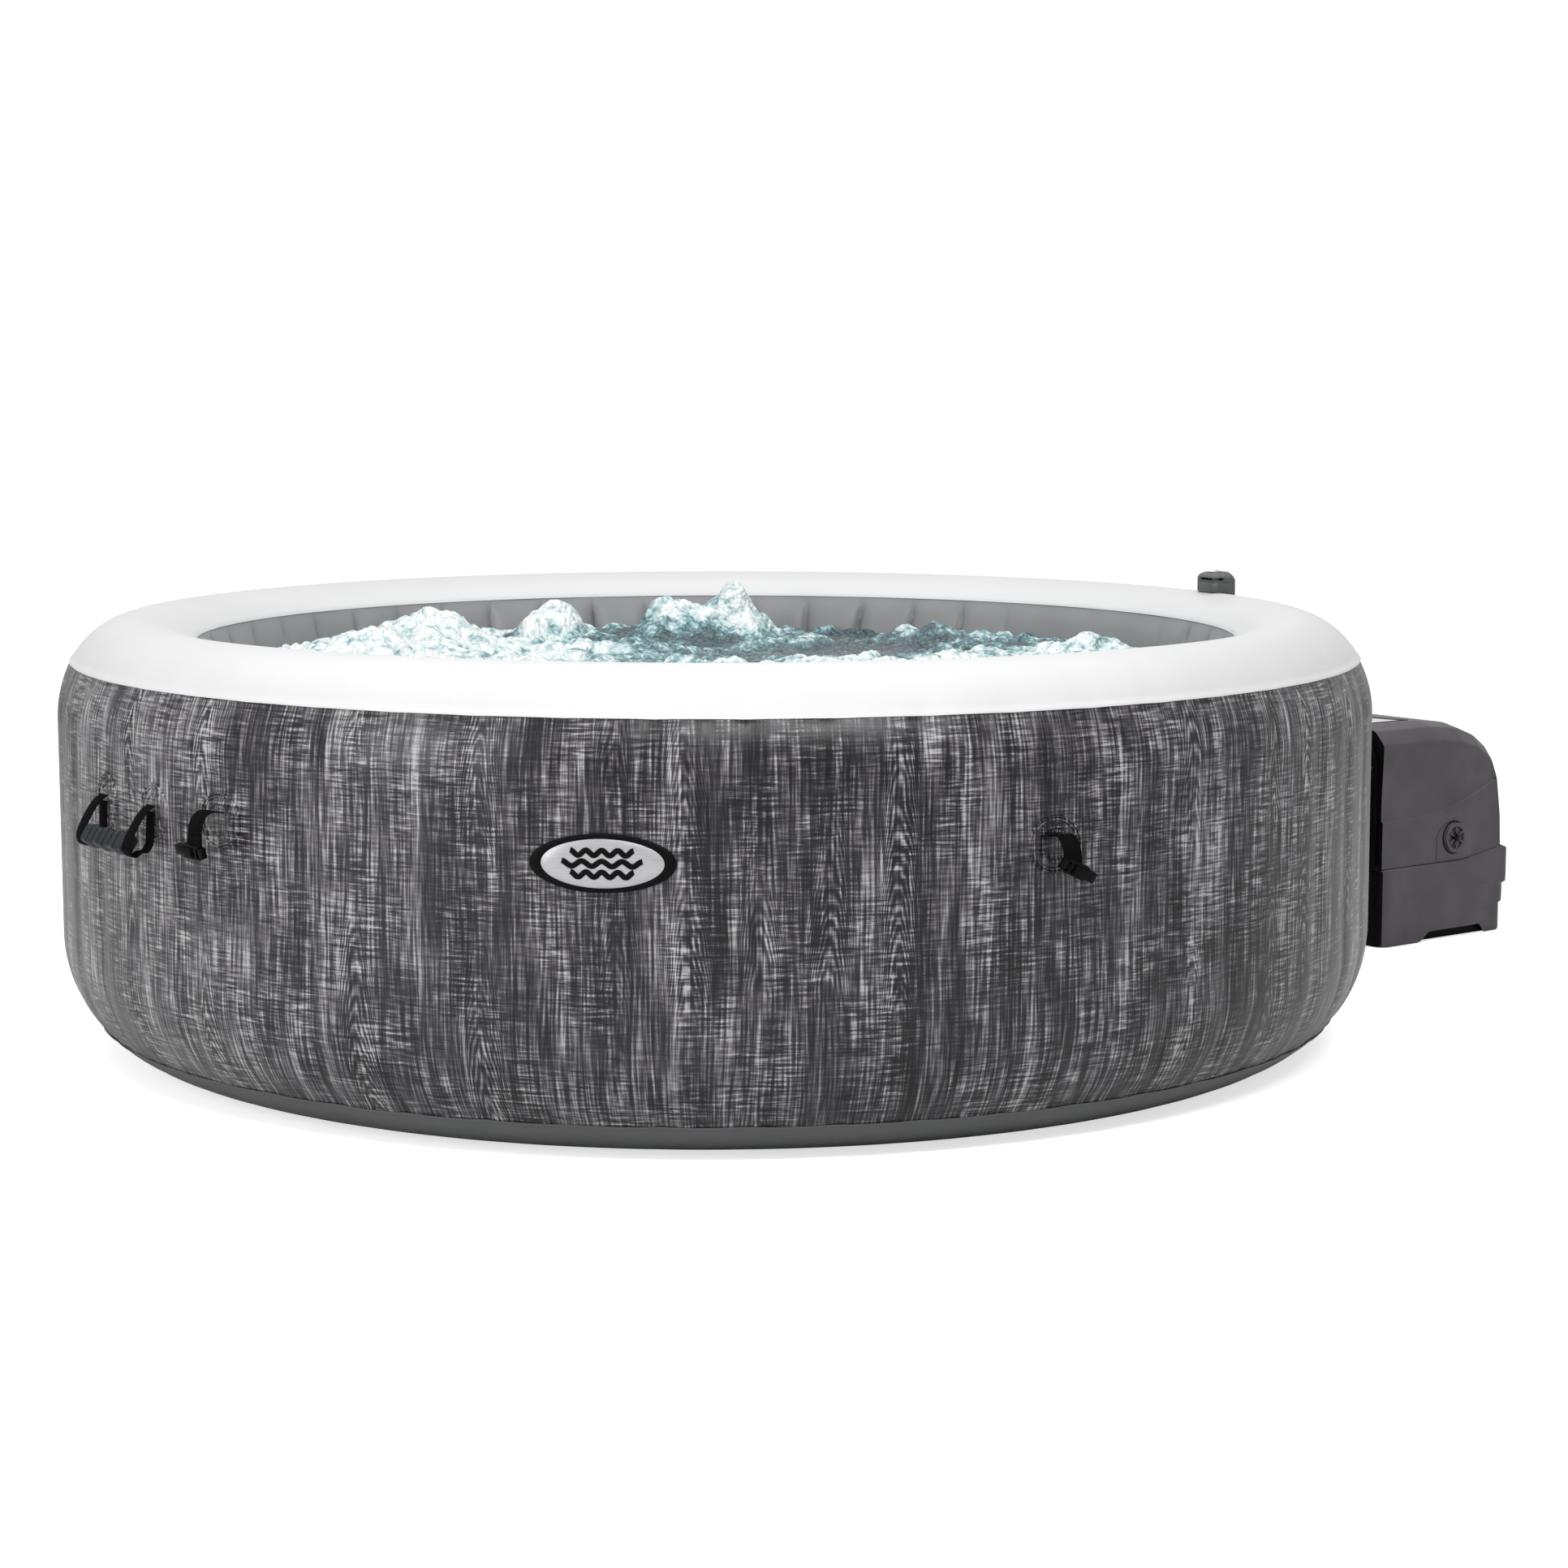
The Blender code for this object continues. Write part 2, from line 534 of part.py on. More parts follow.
def bladed_wheel(name, axis, location, material, radius, low, high):
    """A hub with eight blades, drawn as one star outline and extruded."""
    points = []
    for step in range(32):
        angle = math.tau * step / 32
        reach = radius if step % 4 in (0, 1) else radius * 0.35
        points.append((reach * math.cos(angle), reach * math.sin(angle)))
    bm = prism(points, (0, 0, high - low), lambda x, y: (x, y, low))
    if axis == "Y":
        bmesh.ops.rotate(bm, verts=bm.verts, matrix=Matrix.Rotation(math.pi / 2, 3, "X"))
    return add(name, bm, material, location, flat=True)


def make_insides(finishes):
    """What the casing holds: circulation pump, heater, air blower and control board."""
    pump_at = (1.515, 0.080, 0.100)
    motor_with_scroll("circulation_pump", "Y", pump_at, finishes["copper_wound"], (0.050, 0.046), (0.036, 0.100))
    bladed_wheel("impeller", "Y", pump_at, finishes["fitting"], 0.042, 0.0065, 0.0400)
    ring("heater_tube", 0.021, 0.026, -0.120, 0.120, finishes["steel"], axis="Y", location=(1.660, 0, 0.095))
    blower_at = (1.560, 0.0, 0.205)
    motor_with_scroll("air_blower", "Z", blower_at, finishes["charcoal"], (0.080, 0.050), (0.045, 0.080))
    bladed_wheel("blower_fan", "Z", blower_at, finishes["fitting"], 0.070, 0.0065, 0.0440)
    add("control_board", block((1.690, -0.080, 0.200), (1.693, 0.080, 0.320)), finishes["board"], flat=True)


def make_dock(finishes):
    """The rim dock and the control panel that lifts out of it."""
    location, turn = on_wall(DOCK_AZIMUTH, DOCK_RADIUS, 0.0)
    half_along, half_across = DOCK_SIZE[0] / 2, DOCK_SIZE[1] / 2
    saddle_top = 0.7205
    under = []
    for step in range(5):
        across = -half_across + 2 * half_across * step / 4
        under.append((-across, crown_height(max(DOCK_RADIUS + across, UPPER_ARC_CENTRE[0])) + 0.0012))
    saddle = under + [(-half_across, saddle_top), (half_across, saddle_top)]
    add(
        "dock_base", prism(saddle, (DOCK_SIZE[0], 0, 0), lambda y, z: (-half_along, y, z)), finishes["charcoal"],
        location, turn, flat=True,
    )
    panel_low, panel_top = saddle_top + GAP, 0.7365
    body = block((-half_along, -half_across, panel_low), (half_along, half_across, panel_top), 0.006)
    panel = add("control_panel", body, finishes["charcoal"], location, turn)
    screen = block((-0.016, 0.000, panel_top + 0.0003), (0.016, 0.014, panel_top + 0.0013))
    add("display_window", screen, finishes["screen"], location, turn, flat=True)
    for number in range(4):
        x = -0.0165 + 0.011 * number
        pocket = turned([(0.0043, 0.02), (0.0043, 0.0), (0.0, 0.0), (0.0, 0.02)], 12)
        bmesh.ops.translate(pocket, verts=pocket.verts, vec=(x, -0.011, panel_top - 0.0025))
        cut = cutter(f"button_{number + 1}_pocket", pocket)
        cut.location, cut.rotation_euler.z = location, turn
        join_shape(panel, cut, "DIFFERENCE")
        button = turned([(0.0040, 0.0030), (0.0040, 0.0), (0.0, 0.0), (0.0, 0.0030)], 12)
        bmesh.ops.translate(button, verts=button.verts, vec=(x, -0.011, panel_top - 0.0013))
        add(f"button_{number + 1}", button, finishes["button"], location, turn)


def main():
    clear_scene()
    finishes = make_finishes()
    make_tub(finishes)
    make_badge(finishes)
    make_handle(finishes)
    make_straps(finishes)
    make_valve("air_valve", *AIR_VALVE, finishes)
    make_valve("drain_valve", *DRAIN_VALVE, finishes)
    make_ports(finishes)
    make_filter(finishes)
    make_casing(finishes)
    make_insides(finishes)
    make_dock(finishes)


main()
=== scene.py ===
"""Looks for the inflatable round hot tub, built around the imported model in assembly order."""

import math

import bmesh
import bpy
from mathutils import Matrix, Vector, noise


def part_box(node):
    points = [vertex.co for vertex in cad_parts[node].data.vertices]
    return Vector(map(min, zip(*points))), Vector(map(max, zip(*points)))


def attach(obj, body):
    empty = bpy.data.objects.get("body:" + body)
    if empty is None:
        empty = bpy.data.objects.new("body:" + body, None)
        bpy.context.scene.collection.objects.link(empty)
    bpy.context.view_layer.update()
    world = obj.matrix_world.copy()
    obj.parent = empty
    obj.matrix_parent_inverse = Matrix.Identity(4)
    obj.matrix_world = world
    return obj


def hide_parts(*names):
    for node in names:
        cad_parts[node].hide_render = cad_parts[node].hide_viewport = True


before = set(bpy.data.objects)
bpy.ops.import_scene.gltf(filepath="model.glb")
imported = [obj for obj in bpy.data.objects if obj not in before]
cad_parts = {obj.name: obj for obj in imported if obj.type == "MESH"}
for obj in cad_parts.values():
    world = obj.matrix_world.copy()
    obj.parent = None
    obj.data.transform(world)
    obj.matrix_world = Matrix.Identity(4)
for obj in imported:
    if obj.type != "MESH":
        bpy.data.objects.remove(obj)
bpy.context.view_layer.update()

# ---- Studio: a plain white sweep and three soft boxes ----
# Nothing here belongs to the tub. The camera stands about six metres off, a metre up, looking a little down.

camera_data = bpy.data.cameras.new("camera")
camera_data.sensor_width = 36.0
camera_data.lens = 79.68
camera = bpy.data.objects.new("camera", camera_data)
camera.location = (-3.457, -4.622, 1.15)
camera.rotation_euler = (math.radians(90 - 7.317), 0, math.radians(-37.9))
bpy.context.scene.collection.objects.link(camera)
bpy.context.scene.camera = camera
bpy.context.scene.view_settings.view_transform = "Standard"


class Value:
    """A number that shader nodes work out: arithmetic on it adds Math nodes."""

    def __init__(self, socket):
        self.socket, self.tree = socket, socket.id_data

    def math(self, operation, other=0.0):
        return node(self.tree, "ShaderNodeMath", {0: self, 1: other}, operation=operation)

    def __add__(self, other):
        return self.math("ADD", other)

    def __sub__(self, other):
        return self.math("SUBTRACT", other)

    def __mul__(self, other):
        return self.math("MULTIPLY", other)

    def into(self, socket):
        self.tree.links.new(self.socket, socket)


def node(tree, kind, inputs=None, output=0, **settings):
    """Adds a node, whose inputs are numbers or earlier values, and gives one of its outputs."""
    made = tree.nodes.new(kind)
    for key, setting in settings.items():
        setattr(made, key, setting)
    for key, held in (inputs or {}).items():
        if isinstance(held, Value):
            held.into(made.inputs[key])
        else:
            made.inputs[key].default_value = held
    return Value(made.outputs[output])


def new_finish(name, colour, roughness, metallic=0.0, gloss=0.5):
    """A material, the sockets of its shader, which hold all that is the same all over, and the place on it."""
    material = bpy.data.materials.new(name)
    material.use_nodes = True
    shader = material.node_tree.nodes["Principled BSDF"].inputs
    shader["Base Color"].default_value = (*colour, 1.0)
    shader["Roughness"].default_value = roughness
    shader["Metallic"].default_value = metallic
    shader["Specular IOR Level"].default_value = gloss
    return material, shader, node(material.node_tree, "ShaderNodeTexCoord", output="Object")


world = bpy.data.worlds.new("studio")
world.use_nodes = True
sky = world.node_tree.nodes["Background"].inputs
sky["Color"].default_value = (1.0, 1.0, 1.0, 1.0)
# the backdrop reads as plain white, while the walls of the room throw less light than that on the tub
rays = world.node_tree.nodes.new("ShaderNodeLightPath").outputs
glow = Value(rays["Is Camera Ray"]) * 0.31 + Value(rays["Is Diffuse Ray"]) * -0.37 + 0.75
glow.into(sky["Strength"])
bpy.context.scene.world = world


def soft_box(name, place, aim, size, watts):
    light = bpy.data.lights.new(name, "AREA")
    light.shape = "RECTANGLE"
    light.size, light.size_y = size
    light.energy = watts
    lamp = bpy.data.objects.new(name, light)
    lamp.location = place
    lamp.rotation_euler = (Vector(aim) - Vector(place)).to_track_quat("-Z", "Y").to_euler()
    bpy.context.scene.collection.objects.link(lamp)


soft_box("overhead", (0.3, 0.4, 5.2), (0.3, 0.4, 0.0), (7.5, 7.5), 290)
soft_box("left_side", (-4.6, -0.6, 1.7), (-0.6, 0.0, 0.4), (1.4, 2.6), 70)
soft_box("front_high", (-1.6, -3.6, 3.4), (-0.3, -0.8, 0.6), (2.6, 0.5), 105)

floor_mesh = bmesh.new()
bmesh.ops.create_grid(floor_mesh, x_segments=1, y_segments=1, size=30.0)
floor_data = bpy.data.meshes.new("floor")
floor_mesh.to_mesh(floor_data)
floor_mesh.free()
floor = bpy.data.objects.new("floor", floor_data)
floor.location.z = -0.001
bpy.context.scene.collection.objects.link(floor)
paper, paper_shader, _ = new_finish("white_paper", (0.9, 0.9, 0.9), 0.9, gloss=0.0)
paper_shader["Emission Color"].default_value = (1.0, 1.0, 1.0, 1.0)
paper_lift = node(paper.node_tree, "ShaderNodeLightPath", output="Is Camera Ray") * 0.66
paper_lift.into(paper_shader["Emission Strength"])
floor_data.materials.append(paper)

# ---- Underside, grey band, basin floor and air ring ----
# The tub stands on a disc of plain grey vinyl. A band of the same vinyl is welded to it and turns up round
# the foot of the chamber to meet the printed wall. Inside lie the basin floor and its perforated air ring.

TUB_RADIUS = (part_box("outer_wall")[1].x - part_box("outer_wall")[0].x) / 2
WEBS = 52
FOOT_CENTRE = (0.9, 0.2)  # radius and height of the centre of the rounded foot
SHOULDER_CENTRE = (0.955, 0.545)
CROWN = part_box("top_ring")[1].z - 0.01  # the rim sags a little below its nominal height between the webs
BAND_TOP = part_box("bottom_band")[1].z - 0.0018
SEAM_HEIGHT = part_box("outer_wall")[1].z
LAP = 0.0016  # how far a lapping edge stands off the sheet under it


def blotches(place, scale, detail=3.0, stretch=(1.0, 1.0, 1.0)):
    """A noise value, finer along the axes that stretch names with a bigger number."""
    mapped = node(place.tree, "ShaderNodeMapping", {"Vector": place, "Scale": stretch})
    return node(place.tree, "ShaderNodeTexNoise", {"Vector": mapped, "Scale": scale, "Detail": detail})


def spread(source, low, high, start=0.0, end=1.0):
    """The source rescaled, so that start turns into low and end into high."""
    ends = {"Value": source, "From Min": start, "From Max": end, "To Min": low, "To Max": high}
    return node(source.tree, "ShaderNodeMapRange", ends)


def tone(source, stops):
    """Colours along a ramp, given as (position, (r, g, b))."""
    colours = node(source.tree, "ShaderNodeValToRGB", {"Fac": source})
    elements = colours.socket.node.color_ramp.elements
    while len(elements) < len(stops):
        elements.new(0.5)
    for element, (position, colour) in zip(elements, stops):
        element.position = position
        element.color = (*colour, 1.0)
    return colours


def clouded(shader, cloud, colour, dark, light):
    """A colour that drifts between a darker and a lighter share of itself."""
    low = tuple(part * dark for part in colour)
    high = tuple(min(part * light, 1.0) for part in colour)
    tone(cloud, [(0.35, low), (0.65, high)]).into(shader["Base Color"])


def emboss(shader, height, strength, distance):
    bump = node(height.tree, "ShaderNodeBump", {"Height": height, "Strength": strength, "Distance": distance})
    bump.into(shader["Normal"])


def vinyl(name, colour, roughness, mottle=0.06):
    """Smooth laminated vinyl: faint cloudy tone, a fine fabric scrim showing through, soft gloss."""
    material, shader, place = new_finish(name, colour, roughness)
    clouded(shader, blotches(place, 6.0, 4.0), colour, 1 - mottle, 1 + mottle)
    emboss(shader, blotches(place, 420.0, 2.0) * 0.12 + blotches(place, 18.0, 2.0), 0.25, 0.004)
    return material


def moulded(name, colour, roughness, grain=900.0, strength=0.12, gloss=0.5):
    """Injection-moulded plastic: fine spark-eroded grain and a slight unevenness of tone."""
    material, shader, place = new_finish(name, colour, roughness, gloss=gloss)
    clouded(shader, blotches(place, 14.0, 3.0), colour, 0.9, 1.12)
    spread(blotches(place, 45.0, 4.0), roughness - 0.07, roughness + 0.07).into(shader["Roughness"])
    emboss(shader, blotches(place, grain, 2.0), strength, 0.001)
    return material


def finished(name, bm, material, replaces=None, slot=None, body="tub", angle=40.0):
    """Puts a bmesh in the scene as a piece of the tub that rides on a body."""
    bmesh.ops.remove_doubles(bm, verts=bm.verts, dist=1e-6)
    bmesh.ops.recalc_face_normals(bm, faces=bm.faces)
    mesh = bpy.data.meshes.new(name)
    bm.to_mesh(mesh)
    bm.free()
    mesh.materials.append(material)
    mesh.shade_smooth()
    mesh.set_sharp_from_angle(angle=math.radians(angle))
    piece = bpy.data.objects.new(name, mesh)
    bpy.context.scene.collection.objects.link(piece)
    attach(piece, body)
    if replaces:
        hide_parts(replaces)
    return piece


def coated(name, material):
    """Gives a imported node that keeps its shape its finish."""
    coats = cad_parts[name].data.materials
    coats.clear()
    coats.append(material)


def spun(outline, steps, closed=True):
    """A line of (radius, height) points turned all the way round Z."""
    bm = bmesh.new()
    verts = [bm.verts.new((radius, 0, height)) for radius, height in outline]
    pairs = list(zip(verts, verts[1:])) + ([(verts[-1], verts[0])] if closed else [])
    edges = [bm.edges.new(pair) for pair in pairs]
    whole_turn = {"cent": (0, 0, 0), "axis": (0, 0, 1), "angle": math.tau, "use_merge": True}
    bmesh.ops.spin(bm, geom=verts + edges, steps=steps, **whole_turn)
    bmesh.ops.remove_doubles(bm, verts=bm.verts, dist=1e-6)
    return bm


def azimuth(point):
    return math.atan2(point.x, -point.y)


def grain_noise(around, up, around_scale, up_scale, seed=0.0):
    """Smooth noise on a cylinder, from about -1 to 1, that closes on itself behind the tub."""
    reach = around_scale / math.tau
    return noise.noise((reach * math.cos(around) + seed, reach * math.sin(around), up * up_scale + seed))


def welded_sheet(run, steps, swell, faces_in=False, thickness=0.0012):
    """A round sheet from its shown side, swollen along its own normals and given its thickness."""
    bm = spun(run, steps, closed=False)
    bmesh.ops.recalc_face_normals(bm, faces=bm.faces)
    lead = max(bm.faces, key=lambda face: abs(face.normal.xy.dot(face.calc_center_median().xy)))
    if (lead.normal.xy.dot(lead.calc_center_median().xy) < 0) != faces_in:
        bmesh.ops.reverse_faces(bm, faces=bm.faces)
    bm.normal_update()
    moves = [vert.normal * swell(azimuth(vert.co), vert.co) for vert in bm.verts]
    for vert, move in zip(bm.verts, moves):
        vert.co += move
    bmesh.ops.solidify(bm, geom=bm.faces[:], thickness=thickness)
    return bm


def web_pull(around, width):
    """1 on the line of a vertical web, falling to 0 between webs; width is in metres along the wall."""
    pitch = math.tau / WEBS
    offset = (around / pitch + 0.5) % 1.0 - 0.5
    return math.exp(-((offset * pitch * TUB_RADIUS / width) ** 2))


def smooth(value, low, high):
    share = min(max((value - low) / (high - low), 0.0), 1.0)
    return share * share * (3 - 2 * share)


# azimuth in degrees, height and reach of the stiff spots: the badge, the two ends of the handle, the five
# straps, the two valves and the three ports
STIFF_SPOTS = [(-45.2, 0.437, 0.14), (-95.1, 0.455, 0.07), (-86.9, 0.455, 0.07), (-78.3, 0.46, 0.08)]
STIFF_SPOTS += [(degrees, 0.455, 0.08) for degrees in (-10.9, 62.0, 133.0, 205.0)]
STIFF_SPOTS += [(68.0, 0.2, 0.07), (112.0, 0.21, 0.07), (83.9, 0.235, 0.08), (96.1, 0.235, 0.08)]
STIFF_SPOTS += [(90.0, 0.36, 0.06)]


def slackness(around, height):
    """0 on a stiff spot, 1 on free vinyl."""
    free = 1.0
    for degrees, level, reach in STIFF_SPOTS:
        across = ((around - math.radians(degrees) + math.pi) % math.tau - math.pi) * TUB_RADIUS
        free = min(free, smooth(math.hypot(across, height - level), 0.45 * reach, reach))
    return free


def chamber_swell(around, place):
    """What the pressure does to every outer sheet alike, so that neighbours still meet at their weld."""
    profile = min(max((CROWN - place.z) / 0.15, 0.0), 1.0) * min(place.z / 0.12, 1.0)
    uneven = 0.6 + 0.4 * grain_noise(around, place.z, 34, 0.8, 3.1)
    pull = -0.0046 * web_pull(around, 0.021) * uneven
    slack = 0.002 * grain_noise(around, place.z, 20, 2.2, 7.7)
    return (pull + slack) * profile * slackness(around, place.z)


def arc(centre, across, up, start, end, count):
    """Points on a quarter ellipse, by angle from level."""
    angles = [start + (end - start) * step / count for step in range(count + 1)]
    return [(centre[0] + across * math.cos(angle), centre[1] + up * math.sin(angle)) for angle in angles]


def foot_arc(start, end, count, lift=0.0):
    return arc(FOOT_CENTRE, TUB_RADIUS - FOOT_CENTRE[0] + lift, FOOT_CENTRE[1] + lift, start, end, count)


def shoulder_arc(start, end, count, lift=0.0):
    across, up = TUB_RADIUS - SHOULDER_CENTRE[0] + lift, CROWN - SHOULDER_CENTRE[1] + lift
    return arc(SHOULDER_CENTRE, across, up, start, end, count)


band_vinyl = vinyl("grey_band_vinyl", (0.076, 0.078, 0.08), 0.5)
lining_vinyl = vinyl("grey_lining_vinyl", (0.205, 0.208, 0.211), 0.45)
foot_seam = math.asin((BAND_TOP - FOOT_CENTRE[1]) / FOOT_CENTRE[1])
band_run = [(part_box("bottom_sheet")[1].x + 0.0005, 0.0013), *foot_arc(-math.pi / 2 + 0.05, foot_seam - 0.02, 12)]
band_run += foot_arc(foot_seam - 0.008, foot_seam + 0.016, 2, LAP)
band = welded_sheet(band_run, 520, chamber_swell)
finished("band_round_foot", band, band_vinyl, "bottom_band", "grey_pvc")
coated("bottom_sheet", band_vinyl)
coated("basin_floor", lining_vinyl)
coated("bubble_ring", lining_vinyl)

# ---- Internal webs ----
# Vertical vinyl webs join the outer wall to the inner wall and hold the chamber in shape under pressure.
# They are welded down both edges; the pleats seen on the inner wall are where they pull it back.

coated("internal_beams", vinyl("white_web_vinyl", (0.8, 0.8, 0.79), 0.55))

# ---- Printed outer wall ----
# One long sheet of vinyl printed with weathered grey planks, closed by an upright weld at the back. Air
# pressure rounds it; it puckers where it is welded to the band and the white rim.


def weathered_planks(name, roughness):
    material, shader, place = new_finish(name, (0.12, 0.115, 0.12), roughness, gloss=0.28)
    tree = place.tree
    parts = node(tree, "ShaderNodeSeparateXYZ", {"Vector": place}).socket.node.outputs
    x, y, height = (Value(part) for part in parts)
    around = x.math("ARCTAN2", y * -1.0) * TUB_RADIUS
    flat = node(tree, "ShaderNodeCombineXYZ", {"X": around, "Z": height})

    def cloth(across, up, detail):
        return blotches(flat, 1.0, detail, (across, 1.0, up))

    # the grain wanders a few millimetres sideways on its way up
    grown = around + (cloth(7.0, 2.5, 1.0) - 0.5) * 0.016
    grain = node(tree, "ShaderNodeCombineXYZ", {"X": grown, "Z": height})
    woven = spread(cloth(12.0, 8.0, 2.0), 0.3, 1.0, 0.4, 0.6)
    # threads to the metre across and up, fineness, strength, and whether only the woven patches show it
    total = None
    for across, up, detail, amount, in_weave in (
        (1.6, 1.0, 1.0, 0.55, False), (11.0, 6.0, 2.0, 0.55, False), (30.0, 1.2, 2.0, 0.75, False),
        (95.0, 4.0, 2.0, 0.7, False), (270.0, 13.0, 2.0, 1.75, False), (17.0, 255.0, 2.0, 1.85, True),
        (60.0, 420.0, 1.0, 0.7, True),
    ):
        layer = (blotches(grain, 1.0, detail, (across, 1.0, up)) - 0.5) * amount
        layer = layer * woven if in_weave else layer
        total = total + layer if total else layer
    # nested cathedral arches stand in some planks, one above the other
    plank = grown.math("DIVIDE", 0.098)
    number = plank.math("FLOOR")
    local = plank - number - 0.5
    square = local * local
    chance = node(tree, "ShaderNodeTexWhiteNoise", {"W": number}, noise_dimensions="1D")
    rings = height * 34.0 + chance * 30.0 + square * 62.0 + cloth(26.0, 7.0, 2.0) * 4.5
    wave = (rings * math.tau).math("SINE") * spread(chance, 0.0, 1.0, 0.42, 0.5)
    stands = spread(square, 1.0, 0.0, 0.06, 0.19) * spread(cloth(2.0, 4.0, 1.0), 0.0, 1.0, 0.42, 0.56)
    # thin dark joints between planks, here and there
    joints = spread(square, 0.0, -0.28, 0.236, 0.25) * chance
    printed = total + wave * stands * 0.24 + joints + 0.5
    tone(printed, [
        (0.08, (0.005, 0.0045, 0.0055)), (0.36, (0.02, 0.0185, 0.021)), (0.55, (0.058, 0.0545, 0.059)),
        (0.76, (0.155, 0.15, 0.156)), (1.0, (0.36, 0.355, 0.36)),
    ]).into(shader["Base Color"])
    spread(printed, roughness - 0.05, roughness + 0.08).into(shader["Roughness"])
    emboss(shader, printed * 0.08 + cloth(30.0, 7.0, 3.0), 0.3, 0.004)
    return material


shoulder_seam = math.asin((SEAM_HEIGHT - SHOULDER_CENTRE[1]) / (CROWN - SHOULDER_CENTRE[1]))
wall_run = foot_arc(foot_seam + 0.002, 0.0, 16)
wall_run += [(TUB_RADIUS, 0.24 + 0.0436 * step) for step in range(7)]
wall_run += shoulder_arc(0.0, shoulder_seam, 18)


def wall_swell(around, place):
    """Short puckers run down from the rim seam and up from the band seam, over what every sheet does."""
    lean = around + 0.04 * grain_noise(around, place.z, 16, 1.0, 1.2)
    down = max(SEAM_HEIGHT - place.z, 0.0)
    crease = 1 - 2.6 * abs(grain_noise(lean, place.z, 72, 3.0, 4.4))
    strong = 0.35 + 1.5 * max(grain_noise(around, 0.0, 14, 1.0, 9.0), 0.0)
    reach = 0.04 + 0.035 * strong
    pucker = -0.0052 * strong * max(crease, 0.0) * math.exp(-((down / reach) ** 2)) * min(down / 0.008, 1.0)
    fine = -0.0009 * max(1 - 3.0 * abs(grain_noise(lean, place.z, 230, 6.0, 2.4)), 0.0)
    fine *= math.exp(-((down / 0.03) ** 2)) * min(down / 0.006, 1.0)
    up = max(place.z - BAND_TOP, 0.0)
    low_crease = 1 - 2.4 * abs(grain_noise(lean, place.z, 150, 4.0, 5.5))
    low = -0.0022 * max(low_crease, 0.0) * math.exp(-((up / 0.035) ** 2)) * min(up / 0.006, 1.0)
    return chamber_swell(around, place) + pucker + fine + low


wall = welded_sheet(wall_run, 1080, wall_swell)
plank_print = weathered_planks("weathered_plank_print", 0.34)
finished("printed_wall", wall, plank_print, "outer_wall", "wood_print_pvc", angle=60.0)

# ---- White rim ----
# The top of the chamber is a ring of plain white vinyl, welded to the printed wall outside, where its edge
# laps over the wall, and to the grey lining inside. The narrow raised weld bead along each seam is left out.


def mm(*points):
    """Points given in millimetres, in metres."""
    return [tuple(part / 1000 for part in point) for point in points]


rim_run = shoulder_arc(shoulder_seam - 0.026, shoulder_seam + 0.004, 2, LAP)
rim_run += shoulder_arc(shoulder_seam + 0.014, math.pi / 2, 16)
rim_run += mm(
    (942, 699.8), (928, 697.2), (914, 693.8), (900, 689.6), (887, 684.2), (875, 677.5), (866, 671.2),
    (862, 668.7), (859, 665.3), (857.2, 662.5),
)


def rim_swell(around, place):
    return chamber_swell(around, place) * smooth(place.xy.length, 0.9, 0.99)


rim = welded_sheet(rim_run, 780, rim_swell)
rim_vinyl = vinyl("white_rim_vinyl", (0.56, 0.56, 0.565), 0.45, 0.012)
finished("white_rim", rim, rim_vinyl, "top_ring", "white_pvc", angle=60.0)

# ---- Grey lining with its pleats ----
# The wall bathers lean on. Every web pulls a sharp upright crease into it, pointed at the top where the
# lining is welded to the rim, and the vinyl swells out between the creases.

lining_run = mm(
    (860, 666), (858, 661), (854.5, 655), (850, 647.5), (846, 640), (842, 631), (838.5, 620), (835, 607),
    (832, 592), (829.8, 576), (828, 555), (826.8, 530), (826, 500), (826, 400), (826, 300), (826, 200),
    (826.2, 140), (829, 95), (834, 55), (839.5, 28), (845, 11.2),
)


def lining_pleats(around, place):
    """Negative is back into the chamber, since the lining faces the basin."""
    fade = smooth(0.6615 - place.z, 0.0, 0.036)
    foot = smooth(place.z, 0.01, 0.13)
    port = smooth(abs((math.degrees(around) - 90.0)), 12.0, 17.0)
    slant = around + 0.05 * (place.z - 0.62) + 0.006 * grain_noise(around, place.z, 30, 14, 3.0)
    uneven = 0.75 + 0.45 * grain_noise(around, 0.0, 40, 1.0, 8.0)
    sharp = web_pull(slant, 0.0045) * 0.55 + web_pull(slant, 0.017) * 0.45
    return -0.019 * sharp * uneven * fade * foot * port + 0.001 * grain_noise(around, place.z, 60, 9, 6.0)


lining = welded_sheet(lining_run, 1300, lining_pleats, faces_in=True)
finished("pleated_lining", lining, lining_vinyl, "inner_wall", "grey_pvc", angle=60.0)

# ---- Bubbling water ----
# The basin is full to a hand's width under the rim, with the air ring on: a lumpy skin of white foam, teal
# where the bubbles thin out, with painted shade in the valleys between the lumps and in the gaps between
# bubbles. It is one closed body whose underside is hidden.

WATER_LEVEL, WATER_FOOT, WATER_RADIUS = 0.592, 0.51, 0.83
# x, y, height and spread of the mounds that the jets of air throw up
MOUNDS = [
    (0.44, 0.52, 0.07, 0.05), (0.33, 0.57, 0.058, 0.08), (0.08, 0.6, 0.05, 0.075),
    (-0.18, 0.62, 0.058, 0.1), (0.62, 0.16, 0.036, 0.055), (-0.42, 0.44, 0.04, 0.11),
    (0.05, -0.3, 0.02, 0.16), (0.66, -0.2, 0.024, 0.07),
]
# x, y and spread of the places where the foam opens
CLEARINGS = [
    (0.42, 0.16, 0.16), (0.62, 0.4, 0.09), (0.22, 0.62, 0.06), (0.00, 0.67, 0.05), (-0.3, -0.1, 0.14),
    (0.25, -0.52, 0.12), (0.3, 0.4, 0.07), (-0.36, 0.6, 0.04),
]


